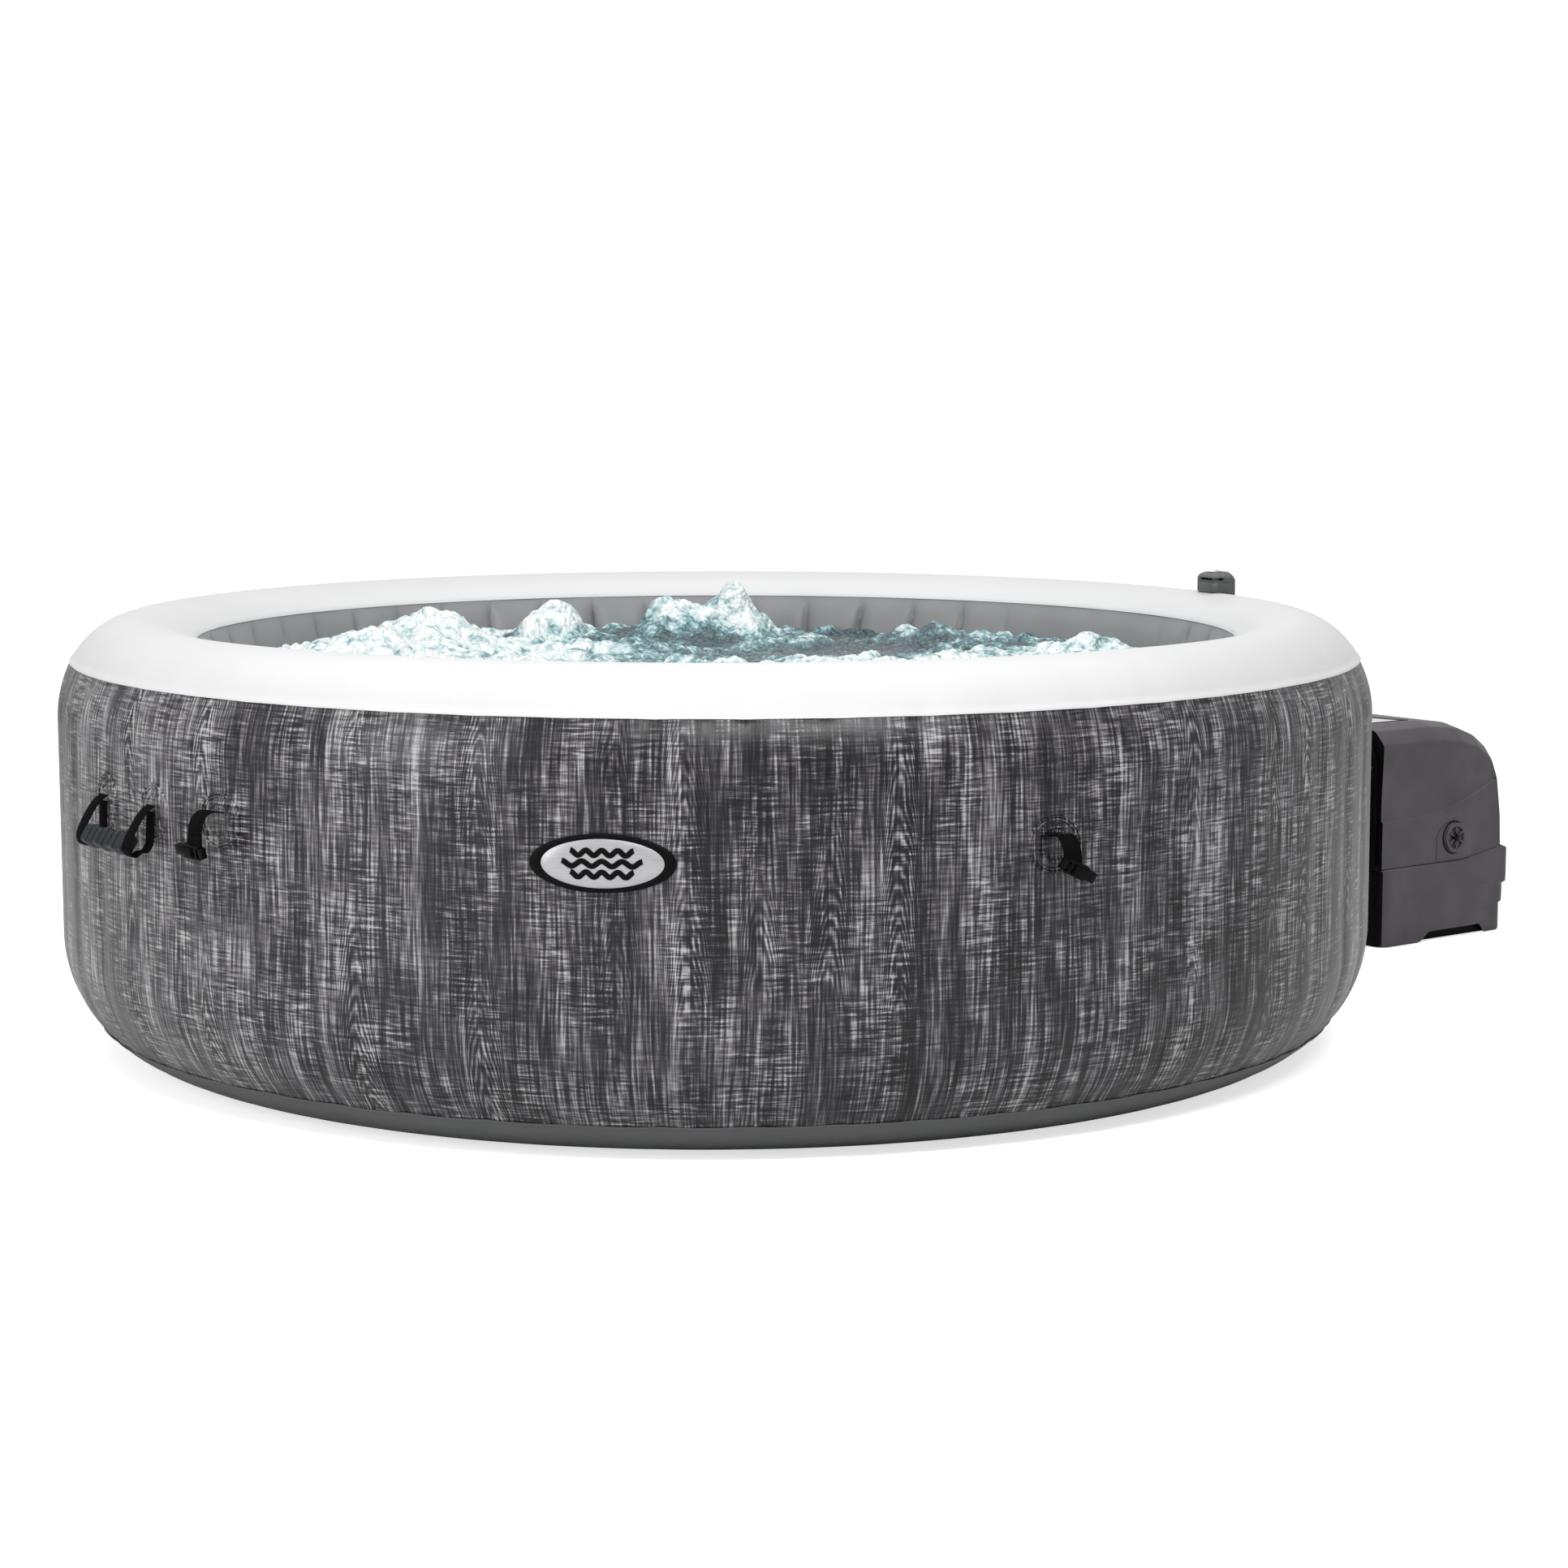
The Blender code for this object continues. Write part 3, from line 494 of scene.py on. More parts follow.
def bubble(place, scale):
    """A rounded bubble in every cell of a loose cluster, from 0 at its edge to 1 on top."""
    nearest = noise.voronoi(place * scale)[0][0]
    return math.sqrt(max(1 - (nearest / 0.72) ** 2, 0.0))


def lump_height(place):
    """Heaps of bubbles, from a fist's size down to a fingertip's, with sharp valleys between them."""
    bent = place + Vector((noise.noise(place * 9.0), noise.noise(place * 9.0 + Vector((7, 7, 0))), 0)) * 0.02
    return 0.016 * abs(noise.noise(bent * 11.0)) + 0.012 * bubble(bent, 24.0) + 0.006 * bubble(bent, 58.0)


def nearness(place, x, y, reach):
    return math.exp(-((place.xy - Vector((x, y))).length / reach) ** 2)


def foam_and_valley_shade(place, lumps):
    """0 on open water, 1 on thick foam; it also drops in the valleys between the lumps, as painted shade."""
    wide = noise.noise(place * 3.3 + Vector((5, 1, 0)))
    ragged = noise.noise(place * 13.0) * 0.4
    heap = max(nearness(place, x, y, reach) for x, y, _, reach in MOUNDS)
    clear = max(nearness(place, *clearing) for clearing in CLEARINGS)
    drift = 0.32 * (0.61 * place.y - 0.79 * place.x)
    # the lumps term paints shade: lower cover in the valleys between the lumps turns them teal
    cover = 0.74 + 0.6 * wide + ragged + 14.0 * (lumps - 0.016) + drift - 0.95 * clear + 0.35 * heap
    return min(max(cover, 0.0), 1.0)


def water_height(place, cover, lumps):
    heap = sum(height * nearness(place, x, y, reach) for x, y, height, reach in MOUNDS)
    ripples = 0.004 * noise.noise(place * 21.0)
    return WATER_LEVEL + heap + lumps * (0.3 + 0.9 * cover) * (1 + 4.0 * heap) + ripples


def bubbling_water():
    material, shader, place = new_finish("bubbling_water", (0.6, 0.7, 0.7), 0.18)
    tree = place.tree
    # the foam attribute holds the foam cover together with painted shade in the valleys between the lumps
    cover = node(tree, "ShaderNodeAttribute", output="Fac", attribute_name="foam")
    wobble = node(tree, "ShaderNodeTexNoise", {"Vector": place, "Scale": 20.0, "Detail": 2.0}, "Color")
    loose = node(tree, "ShaderNodeMixRGB", {0: 0.03, 1: place, 2: wobble})
    large, small = (node(tree, "ShaderNodeTexVoronoi", {"Vector": loose, "Scale": size}) for size in (48.0, 125.0))
    # the gaps between bubble cells, which the bump sinks, also darken the colour: painted shade
    gaps = large * 0.85 + small * 0.55
    froth_and_gap_shade = cover + (blotches(place, 34.0, 4.0) - 0.5) * 0.9 - (gaps - 0.5) * 0.8
    tone(froth_and_gap_shade, [
        (0.0, (0.02, 0.05, 0.062)), (0.22, (0.05, 0.125, 0.145)), (0.44, (0.16, 0.3, 0.32)),
        (0.62, (0.43, 0.56, 0.57)), (0.86, (0.72, 0.755, 0.755)),
    ]).into(shader["Base Color"])
    spread(froth_and_gap_shade, 0.08, 0.45).into(shader["Roughness"])
    emboss(shader, gaps * -1.0, 0.6, 0.012)
    return material


def only_verts(geometry):
    return [found for found in geometry if isinstance(found, bmesh.types.BMVert)]


water = bmesh.new()
bmesh.ops.create_grid(water, x_segments=290, y_segments=290, size=1.0)
foam_and_shade_layer = water.verts.layers.float.new("foam")
for vert in water.verts:
    x, y, _ = vert.co
    vert.co = Vector((x * math.sqrt(1 - y * y / 2), y * math.sqrt(1 - x * x / 2), 0)) * WATER_RADIUS
    lumps = lump_height(vert.co)
    cover = foam_and_valley_shade(vert.co, lumps)
    vert[foam_and_shade_layer] = cover
    vert.co.z = water_height(vert.co.copy(), cover, lumps)
shore = bmesh.ops.extrude_edge_only(water, edges=[edge for edge in water.edges if edge.is_boundary])["geom"]
for vert in only_verts(shore):
    vert.co = Vector((vert.co.x * 0.994, vert.co.y * 0.994, WATER_FOOT))
bmesh.ops.contextual_create(water, geom=[edge for edge in water.edges if edge.is_boundary])
finished("water", water, bubbling_water(), angle=180.0)

# ---- Badge ----
# An oval plate glued to the wall: a glossy black rim round a brushed silver face. The face carries only a
# plain mark of three waves.


def on_wall(bm, degrees, height):
    """Bends a flat shape (x along the wall, y up, z off the wall) round the tub at a place on it."""
    middle = math.radians(degrees)
    for vert in bm.verts:
        across, up, lift = vert.co
        around = middle + across / TUB_RADIUS
        radius = TUB_RADIUS + chamber_swell(around, Vector((0, 0, height + up))) + lift
        vert.co = (radius * math.sin(around), -radius * math.cos(around), height + up)
    return bm


def oval(profile, half_across, half_up, steps=96):
    """A round plate of the given (share of radius, lift) outline, stretched to an oval."""
    bm = spun(profile, steps)
    for vert in bm.verts:
        vert.co.x *= half_across
        vert.co.y *= half_up
    return bm


def strip(points, width):
    """A flat ribbon outline along a line of 2D points, as a closed loop."""
    run = [Vector(point) for point in points]
    left, right = [], []
    for index, point in enumerate(run):
        along = (run[min(index + 1, len(run) - 1)] - run[max(index - 1, 0)]).normalized()
        side = Vector((-along.y, along.x)) * width / 2
        left.append(point + side)
        right.append(point - side)
    return left + right[::-1]


def thickened(bm, depth, bevel, segments=2):
    """Flat faces given depth along z and rounded rims."""
    grown = bmesh.ops.extrude_face_region(bm, geom=bm.faces[:])["geom"]
    bmesh.ops.translate(bm, verts=only_verts(grown), vec=(0, 0, depth))
    bmesh.ops.recalc_face_normals(bm, faces=bm.faces)
    rims = [edge for edge in bm.edges if edge.calc_face_angle(0.0) > 1.2]
    bmesh.ops.bevel(bm, geom=rims, offset=bevel, segments=segments, profile=0.5, affect="EDGES", material=-1)
    return bm


def raised(loop, depth, bevel, segments=2, low=0.0):
    """A plate of one outline in x and y."""
    bm = bmesh.new()
    bm.faces.new([bm.verts.new((x, y, low)) for x, y in loop])
    return thickened(bm, depth, bevel, segments)


def brushed_silver():
    material, shader, place = new_finish("badge_silver_face", (0.36, 0.36, 0.37), 0.34, 0.25)
    brushed = blotches(place, 40.0, 3.0, (1.0, 1.0, 22.0))
    tone(brushed, [(0.3, (0.33, 0.33, 0.34)), (0.7, (0.4, 0.4, 0.41))]).into(shader["Base Color"])
    emboss(shader, brushed, 0.06, 0.0005)
    return material


black_moulding = moulded("black_moulding", (0.0025, 0.0025, 0.003), 0.42, gloss=0.06)
badge_low, badge_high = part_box("badge")[0].z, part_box("badge")[1].z
BADGE_AT = (-45.2, (badge_low + badge_high) / 2)
BADGE_HALF = (0.1025, (badge_high - badge_low) / 2)
badge_frame = [(0, 0.0009), (1.0, 0.0009), (1.0, 0.0028), (0.99, 0.004), (0.965, 0.0047), (0.9, 0.005)]
badge_frame += [(0.862, 0.0048), (0.85, 0.004), (0.845, 0.0026), (0, 0.0026)]
badge_rim = on_wall(oval(badge_frame, *BADGE_HALF), *BADGE_AT)
finished("badge_rim", badge_rim, black_moulding, "badge", angle=50.0)
badge_plate = [(0, 0.0028), (0.838, 0.0028), (0.838, 0.0036), (0.825, 0.0042), (0.6, 0.0049), (0.3, 0.0053)]
badge_face = on_wall(oval([*badge_plate, (0, 0.0054)], *BADGE_HALF), *BADGE_AT)
finished("badge_face", badge_face, brushed_silver(), slot="badge_silver", angle=50.0)
for index, half_length in enumerate((0.044, 0.056, 0.044)):
    level = 0.015 * (1 - index)
    crest = [(half_length * t / 24, level + 0.0036 * math.cos(t * math.pi / 6)) for t in range(-24, 25)]
    mark = on_wall(raised(strip(crest, 0.0078), 0.0009, 0.0002, 1, 0.0049), *BADGE_AT)
    finished(f"badge_wave_{index + 1}", mark, black_moulding, angle=50.0)

# ---- Weld patches for the carry handle and the cover straps ----
# Each webbing anchor is high-frequency welded under an oval patch of the printed vinyl, with a ridge round
# its edge and two more inside it. The patches are part of the wall.

patch_print = weathered_planks("patch_print", 0.24)
PATCH_PROFILE = [(0, 0.0002), (1.0, 0.0002), (1.0, 0.0009)]
for ridge in (0.965, 0.86, 0.6):
    PATCH_PROFILE += [(ridge, 0.0036), (ridge - 0.03, 0.0034), (ridge - 0.05, 0.001)]
PATCH_PROFILE += [(0.3, 0.0012), (0, 0.0013)]
STRAP_PLACES = [(-78.3, 0.474), (-10.9, 0.46), (62.0, 0.462), (133.0, 0.462), (205.0, 0.462)]
HANDLE_HINGE = (-91.0, 1.0795, 0.468)  # azimuth in degrees, radius and height
HANDLE_HALF_SPAN = 0.0775
handle_side = math.degrees(HANDLE_HALF_SPAN / TUB_RADIUS)
patches = [(f"strap_patch_{number}", 0.043, 0.041, degrees, height - 0.012)
           for number, (degrees, height) in enumerate(STRAP_PLACES, start=1)]
patches += [(f"handle_patch_{side}", 0.036, 0.042, HANDLE_HINGE[0] + offset, HANDLE_HINGE[2] - 0.008)
            for side, offset in (("left", -handle_side), ("right", handle_side))]
for name, half_across, half_up, degrees, height in patches:
    patch = on_wall(oval(PATCH_PROFILE, half_across, half_up, 64), degrees, height)
    finished(name, patch, patch_print, slot="wood_print_pvc", angle=60.0)

# ---- Carry handle ----
# Two loops of black webbing come out of the wall patches and pass through the ends of a moulded slate grip,
# which is waisted between the fingers and has six slots across it.

ON_EDGE = Matrix(((0, 0, 1, 0), (1, 0, 0, 0), (0, 1, 0, 0), (0, 0, 0, 1)))  # x and y turn into y and z


def webbing_finish():
    material, shader, place = new_finish("black_webbing", (0.004, 0.004, 0.005), 0.8, gloss=0.03)
    ribs = blotches(place, 900.0, 1.0)
    tone(ribs, [(0.35, (0.0012, 0.0012, 0.0015)), (0.7, (0.006, 0.006, 0.0065))]).into(shader["Base Color"])
    emboss(shader, ribs, 0.7, 0.0015)
    return material


def moved(bm, matrix):
    bmesh.ops.transform(bm, matrix=matrix, verts=bm.verts)
    return bm


def hung(bm, degrees, radius, height):
    """Takes a shape with -Y facing away from the wall to a place on the wall."""
    angle = math.radians(degrees)
    place = Matrix.Translation((radius * math.sin(angle), -radius * math.cos(angle), height))
    return moved(bm, place @ Matrix.Rotation(angle, 4, "Z"))


def curve_through(points, steps=8):
    """A smooth line through 2D points (Catmull-Rom)."""
    run = [Vector(point) for point in points]
    padded = [run[0] * 2 - run[1], *run, run[-1] * 2 - run[-2]]
    found = []
    for a, b, c, d in zip(padded, padded[1:], padded[2:], padded[3:]):
        for t in (step / steps for step in range(steps)):
            square, cube = 2 * a - 5 * b + 4 * c - d, 3 * b - a - 3 * c + d
            found.append(0.5 * (2 * b + (c - a) * t + square * t * t + cube * t ** 3))
    return found + [run[-1]]


def webbing(points, width, middle=0.0, thickness=0.0018):
    """A band of webbing whose line lies in the plane of Y and Z, and whose width lies along X."""
    return moved(raised(strip(points, thickness), width, 0.0004, 1, middle - width / 2), ON_EDGE)


def stacked(loops, cap_low=True, cap_high=True, closed=True):
    """Quads between loops of 3D points, one above the other."""
    bm = bmesh.new()
    rings = [[bm.verts.new(point) for point in loop] for loop in loops]
    for low, high in zip(rings, rings[1:]):
        for index in range(len(low) if closed else len(low) - 1):
            after = (index + 1) % len(low)
            bm.faces.new((low[index], low[after], high[after], high[index]))
    if cap_low:
        bm.faces.new(rings[0][::-1])
    if cap_high:
        bm.faces.new(rings[-1])
    bmesh.ops.remove_doubles(bm, verts=bm.verts, dist=1e-5)
    bmesh.ops.dissolve_degenerate(bm, edges=bm.edges, dist=1e-6)
    return bm


black_webbing = webbing_finish()
loop_line = mm(
    (-2.5, 1), (-16, -8), (-31, -28), (-42.5, -50), (-44, -65), (-36, -72.5), (-25, -67), (-15, -66),
    (-7.5, -55), (-6, -36), (-4.5, -8),
)
for side, direction in (("left", -1), ("right", 1)):
    loop = hung(webbing(curve_through(loop_line), 0.024, direction * HANDLE_HALF_SPAN), *HANDLE_HINGE)
    finished(f"handle_loop_{side}", loop, black_webbing, "handle_webbing", "black_webbing", "carry_handle", 50.0)

HANDLE_TILT = math.radians(32)
HANDLE_DROP = 0.066
GRIP_HALF = 0.066
quarter = mm((10, 15), (11.8, 12), (12, 6), (12, 0), (12, -6), (11.8, -12), (10, -15))
GRIP_SECTION = quarter + mm((6, -16.8), (0, -17), (-6, -16.8))
GRIP_SECTION += [(-y, z) for y, z in quarter[::-1]] + mm((-6, 16.8), (0, 17), (6, 16.8))
SLOT_PLACES = [-0.044 + 0.0176 * step for step in range(6)]


def grip_ring(x):
    """The section at one place along the grip: waisted between the fingers and pushed in along each slot."""
    taper = 0.86 if abs(x) > GRIP_HALF - 0.001 else 1.0
    waist = 0.9 + 0.1 * math.cos(x / GRIP_HALF * math.pi * 3) * (1 if abs(x) < GRIP_HALF * 0.95 else 0.3)
    slotted = any(abs(x - middle) < 0.0011 for middle in SLOT_PLACES)
    ring = []
    for y, z in GRIP_SECTION:
        depth = 0.0028 if slotted and abs(z) < 0.0125 else 0.0
        ring.append((x, math.copysign(max(abs(y) * taper - depth, 0.0), y), z * waist * taper))
    return ring


stations = {-GRIP_HALF, -GRIP_HALF + 0.002, GRIP_HALF - 0.002, GRIP_HALF}
stations |= {GRIP_HALF * step / 22 for step in range(-21, 22)}
stations |= {middle + offset for middle in SLOT_PLACES for offset in (-0.0014, -0.0009, 0.0009, 0.0014)}
grip = moved(stacked([grip_ring(x) for x in sorted(stations)]), Matrix.Rotation(-HANDLE_TILT, 4, "X"))
grip_middle = Vector((0, -math.sin(HANDLE_TILT), -math.cos(HANDLE_TILT))) * HANDLE_DROP
hung(moved(grip, Matrix.Translation(grip_middle)), *HANDLE_HINGE)
slate_moulding = moulded("slate_moulding", (0.0095, 0.0125, 0.0145), 0.48, 700.0, 0.2, 0.16)
finished("handle_grip_moulding", grip, slate_moulding, "handle_grip", "slate_plastic", "carry_handle", 38.0)

# ---- Cover straps ----
# Five curls of webbing with one half of a side-release buckle hold the cover down. They hang from their
# patches when the cover is off. The webbing folds back on itself where the buckle's bar passes through.

STRAP_RADIUS = 1.0835
# drop of the webbing, which way the buckle points (1 or -1), its roll, and its lean out of the upright
STRAP_LIES = [
    (0.054, -1, 3.0, 14.0), (0.04, 1, 26.0, 18.0), (0.044, -1, -10.0, 30.0), (0.046, 1, 12.0, 20.0),
    (0.042, -1, -14.0, 35.0),
]
# the socket half of the buckle: lines of a grid and the cells left open as side windows
BUCKLE_X = (-0.0295, -0.0215, -0.0165, -0.0115, -0.0075, 0.01, 0.0145, 0.0225, 0.0295)
BUCKLE_Y = (-0.0105, -0.0075, -0.0035, 0.0035, 0.0075, 0.0105)
WINDOWS = {(1, 1), (1, 2), (1, 3), (3, 1), (3, 2), (3, 3), (6, 0), (6, 4), (0, 0), (0, 4), (7, 0), (7, 4)}
BUCKLE_THICKNESS = 0.0092
CROWN_OUTLINE = mm((-6.5, -7), (20, -6), (25.5, -3.5), (25.5, 3.5), (20, 6), (-6.5, 7))


def buckle_socket():
    """A ladder end for the webbing and a body with side windows."""
    bm = bmesh.new()
    grid = [[bm.verts.new((x, y, -BUCKLE_THICKNESS / 2)) for x in BUCKLE_X] for y in BUCKLE_Y]
    for row, (low, high) in enumerate(zip(grid, grid[1:])):
        for column in range(len(BUCKLE_X) - 1):
            if (column, row) not in WINDOWS:
                bm.faces.new((low[column], low[column + 1], high[column + 1], high[column]))
    bmesh.ops.delete(bm, geom=[vert for vert in bm.verts if not vert.link_faces], context="VERTS")
    return thickened(bm, BUCKLE_THICKNESS, 0.001)


for number, ((degrees, height), (drop, flip, roll, pitch)) in enumerate(zip(STRAP_PLACES, STRAP_LIES), start=1):
    root, strap_body = (degrees, STRAP_RADIUS, height), f"cover_strap_{number}"
    curl = mm((-0.8, 0), (-12, 3), (-23, 3.5), (-34, -1.5), (-41.5, -12), (-44, -24)) + [(-0.0442, -drop - 0.001)]
    band = hung(webbing(curve_through(curl, 6), 0.029), *root)
    finished(f"strap_band_{number}", band, black_webbing, f"strap_{number}", "black_webbing", strap_body, 50.0)
    hem = hung(webbing([(-0.0464, -drop * 0.55), (-0.0464, -drop)], 0.028), *root)
    finished(f"strap_hem_{number}", hem, black_webbing, body=strap_body, angle=50.0)
    # the webbing ends on the ladder bar, which lies to one side of the buckle's middle
    tilt, lean, bar = math.radians(roll), math.radians(pitch), -0.01 * flip
    middle = Vector((-bar * math.cos(tilt), -0.044, -drop + 0.001 + bar * math.sin(tilt)))
    turns = Matrix.Rotation(tilt, 4, "Y") @ Matrix.Rotation(math.pi / 2 + lean, 4, "X")
    place = Matrix.Translation(middle) @ turns @ Matrix.Diagonal((flip, flip, 1, 1))
    crown = raised(CROWN_OUTLINE, 0.0018, 0.0007, 2, 0.0048)
    for part, piece, stands_for in (("socket", buckle_socket(), f"buckle_{number}"), ("crown", crown, None)):
        hung(moved(piece, place), *root)
        finished(f"buckle_{part}_{number}", piece, black_moulding, stands_for, "black_plastic", strap_body)

# ---- Air valve and drain valve ----
# Both are moulded flanges welded to the wall on the pump side, each with a screw cap that has finger ribs
# round it and a raised bar across it.

OFF_WALL = Matrix.Rotation(math.pi / 2, 4, "X")  # z turns into -Y
fitting_moulding = moulded("fitting_moulding", (0.4, 0.41, 0.42), 0.42)


def ribbed(outline, steps, ribs, depth, shown_from):
    """A full spin whose outer surface, past the radius shown_from, carries round finger ribs."""
    bm = spun(outline, steps)
    for vert in bm.verts:
        radius = vert.co.xy.length
        if radius > shown_from:
            ridge = 0.5 + 0.5 * math.tanh(2.2 * math.cos(ribs * math.atan2(vert.co.y, vert.co.x)))
            vert.co.xy *= 1 - depth * (1 - ridge) / radius
    return bm


VALVES = {"air_valve": (68.0, 0.2), "drain_valve": (112.0, 0.21)}
SEAT = mm((29.5, 0.4), (6, 0.4), (6, 12), (14, 12), (14, 6.6), (20.5, 5.8), (22.5, 4.4), (28, 3.6), (29.5, 2.2))
CAP = mm(
    (14.8, 6.8), (14.8, 12.6), (0, 12.6), (0, 18.8), (15, 18.6), (17, 19.8), (20.5, 20), (22.2, 18.8),
    (22.8, 17), (23, 6.8),
)
CAP_BAR = mm((-12, -3), (12, -3), (13, 0), (12, 3), (-12, 3), (-13, 0))
for name, (degrees, height) in VALVES.items():
    root = (degrees, TUB_RADIUS + 0.001, height)
    seat = hung(moved(spun(SEAT, 72), OFF_WALL), *root)
    finished(f"{name}_flange", seat, fitting_moulding, name, "fitting_plastic")
    cap = hung(moved(ribbed(CAP, 192, 24, 0.0012, 0.0225), OFF_WALL), *root)
    finished(f"{name}_screw_cap", cap, black_moulding, f"{name}_cap", "black_plastic", f"{name}_cap")
    bar = hung(moved(raised(CAP_BAR, 0.0022, 0.0008, 2, 0.0189), OFF_WALL), *root)
    finished(f"{name}_cap_bar", bar, black_moulding, body=f"{name}_cap")

# ---- Water and air ports, their hoses and coupling nuts ----
# Grey fittings clamp through the chamber, each with a screwed coupling nut outside. Two ribbed water hoses
# and one thinner air hose run to the spigots of the pump unit.

# y and z at the wall, y and z at the pump, and the radius of the bore's wall
PORTS = {
    "inlet": (-0.115, 0.235, -0.1, 0.205, 0.024),
    "outlet": (0.115, 0.235, 0.1, 0.205, 0.024),
    "air": (0.000, 0.36, 0.000, 0.32, 0.016),
}
HOSE_START, HOSE_END = 1.1185, 1.3945
hose_vinyl = moulded("ribbed_hose_vinyl", (0.24, 0.25, 0.26), 0.46, 500.0)


def hose_line(y, z, pump_y, pump_z, straight=0.032, count=60):
    """Straight out of the fitting, a gentle sag, and straight into the spigot."""
    run = HOSE_END - HOSE_START - 2 * straight
    points = [Vector((HOSE_START, y, z)), Vector((HOSE_START + straight / 2, y, z))]
    for share in (step / count for step in range(count + 1)):
        blend = smooth(share, 0.0, 1.0)
        sag = 0.012 * math.sin(math.pi * share) ** 2
        level = z + (pump_z - z) * blend - sag
        points.append(Vector((HOSE_START + straight + run * share, y + (pump_y - y) * blend, level)))
    return points + [Vector((HOSE_END - straight / 2, pump_y, pump_z)), Vector((HOSE_END, pump_y, pump_z))]


def ribbed_tube(line, outer, inner, pitch, sides=36):
    """A hose of that bore round a line, its outside rising and falling once in each pitch."""
    lengths = [0.0]
    for before, after in zip(line, line[1:]):
        lengths.append(lengths[-1] + (after - before).length)
    total = lengths[-1]
    count = round(total / pitch) * 6
    outside, bore = [], []
    for step in range(count + 1):
        reach = total * step / count
        index = min(max(i for i, length in enumerate(lengths) if length <= reach + 1e-9), len(line) - 2)
        share = (reach - lengths[index]) / (lengths[index + 1] - lengths[index])
        centre = line[index].lerp(line[index + 1], share)
        along = (line[index + 1] - line[index]).normalized()
        side = along.cross(Vector((0, 0, 1))).normalized()
        up = side.cross(along)
        plain_end = min(reach, total - reach) < 0.028
        swell = 0.0 if plain_end else 0.0013 * (math.cos(math.tau * step / 6) - 1)
        spokes = [side * math.cos(angle) + up * math.sin(angle)
                  for angle in (math.tau * turn / sides for turn in range(sides))]
        outside.append([centre + spoke * (outer + swell) for spoke in spokes])
        bore.append([centre + spoke * inner for spoke in spokes])
    return stacked(outside + bore[::-1] + outside[:1], False, False), total


def placed(bm, *at):
    return moved(bm, Matrix.Translation(at))


def on_pump_axis(bm, *at):
    return placed(moved(bm, Matrix.Rotation(math.pi / 2, 4, "Y")), *at)


def coupling_nut(radius):
    outer = radius + 0.0088
    outline = [(radius + 0.0006, 0.0), (radius + 0.0006, 0.044)]
    outline += [(outer - inset, along) for inset, along in mm(
        (4, 44), (2, 43.2), (0.8, 41.5), (0, 39), (0, 5), (0.8, 2.5), (2, 0.8), (4, 0),
    )]
    return ribbed(outline, 216, 18, 0.0022, radius + 0.006)


for name, (y, z, pump_y, pump_z, radius) in PORTS.items():
    inside_x, outside_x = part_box(name + "_fitting")[0].x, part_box(name + "_fitting")[1].x
    shoulder = math.sqrt(TUB_RADIUS**2 - max(abs(y) - radius - 0.012, 0) ** 2) + 0.001 - inside_x
    flange, bore, tip = radius + 0.0117, radius - 0.005, outside_x - inside_x
    fitting = spun([
        (flange - 0.002, 0.0), (flange, 0.002), (flange, 0.0048), (flange - 0.001, 0.0058), (radius, 0.006),
        (radius, shoulder), (flange - 0.001, shoulder), (flange, shoulder + 0.001),
        (flange - 0.002, shoulder + 0.0035), (radius + 0.003, shoulder + 0.0048), (radius, shoulder + 0.005),
        (radius, tip), (bore, tip), (bore, 0.0),
    ], 72)
    on_pump_axis(fitting, inside_x, y, z)
    finished(f"{name}_port", fitting, fitting_moulding, name + "_fitting", "fitting_plastic")
    line = hose_line(y, z, pump_y, pump_z)
    tube, length = ribbed_tube(line, radius - 0.0012, radius - 0.0048, 0.0085)
    hose = finished(f"{name}_ribbed_hose", tube, hose_vinyl, name + "_hose", "hose_pvc", angle=60.0)
    for end, *at in (("tub", 1.1, y, z), ("pump", 1.372, pump_y, pump_z)):
        nut = on_pump_axis(coupling_nut(radius), *at)
        nut_body = f"{name}_{end}_nut"
        finished(f"{name}_{end}_coupling", nut, black_moulding, nut_body, "black_plastic", nut_body)

# ---- Cartridge filter in the basin ----
# The filter cup clips over the inlet fitting under water. Its pleated paper cartridge is held down by a cap
# with a lifting knob.

FILTER_AT = ((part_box("filter_housing")[0].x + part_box("filter_housing")[1].x) / 2, PORTS["inlet"][0], 0.0)


def filter_paper():
    material, shader, place = new_finish("pleated_filter_paper", (0.82, 0.83, 0.85), 0.92)
    fibres = blotches(place, 500.0, 4.0, (1.0, 1.0, 0.3))
    tone(fibres, [(0.3, (0.74, 0.75, 0.77)), (0.7, (0.86, 0.87, 0.88))]).into(shader["Base Color"])
    emboss(shader, fibres, 0.3, 0.001)
    return material


cup = mm(
    (54.8, 344.5), (55, 330), (53.5, 328), (53.5, 133), (52, 127), (48, 125.2), (0, 125.2), (0, 128.8),
    (50.5, 128.8), (51, 344.5),
)
finished("filter_cup", placed(spun(cup, 96), *FILTER_AT), fitting_moulding, "filter_housing", "fitting_plastic")
pleats = mm((18.2, 130.4), (18.2, 339.6), (45.5, 339.6), (45.8, 333), (45.8, 137), (45.5, 130.4))
cartridge = placed(ribbed(pleats, 384, 48, 0.005, 0.04), *FILTER_AT)
finished("filter_pleats", cartridge, filter_paper(), "filter_cartridge", "filter_paper", angle=60.0)
lid = mm(
    (0, 345.8), (56, 345.8), (56.8, 348), (56.8, 355), (54.5, 357.8), (20, 359), (16.5, 361), (16, 369),
    (14.5, 371.2), (0, 371.6),
)
cap = placed(ribbed(lid, 192, 32, 0.0012, 0.0555), *FILTER_AT)
finished("filter_screw_cap", cap, black_moulding, "filter_cap", "black_plastic", "filter_cap")

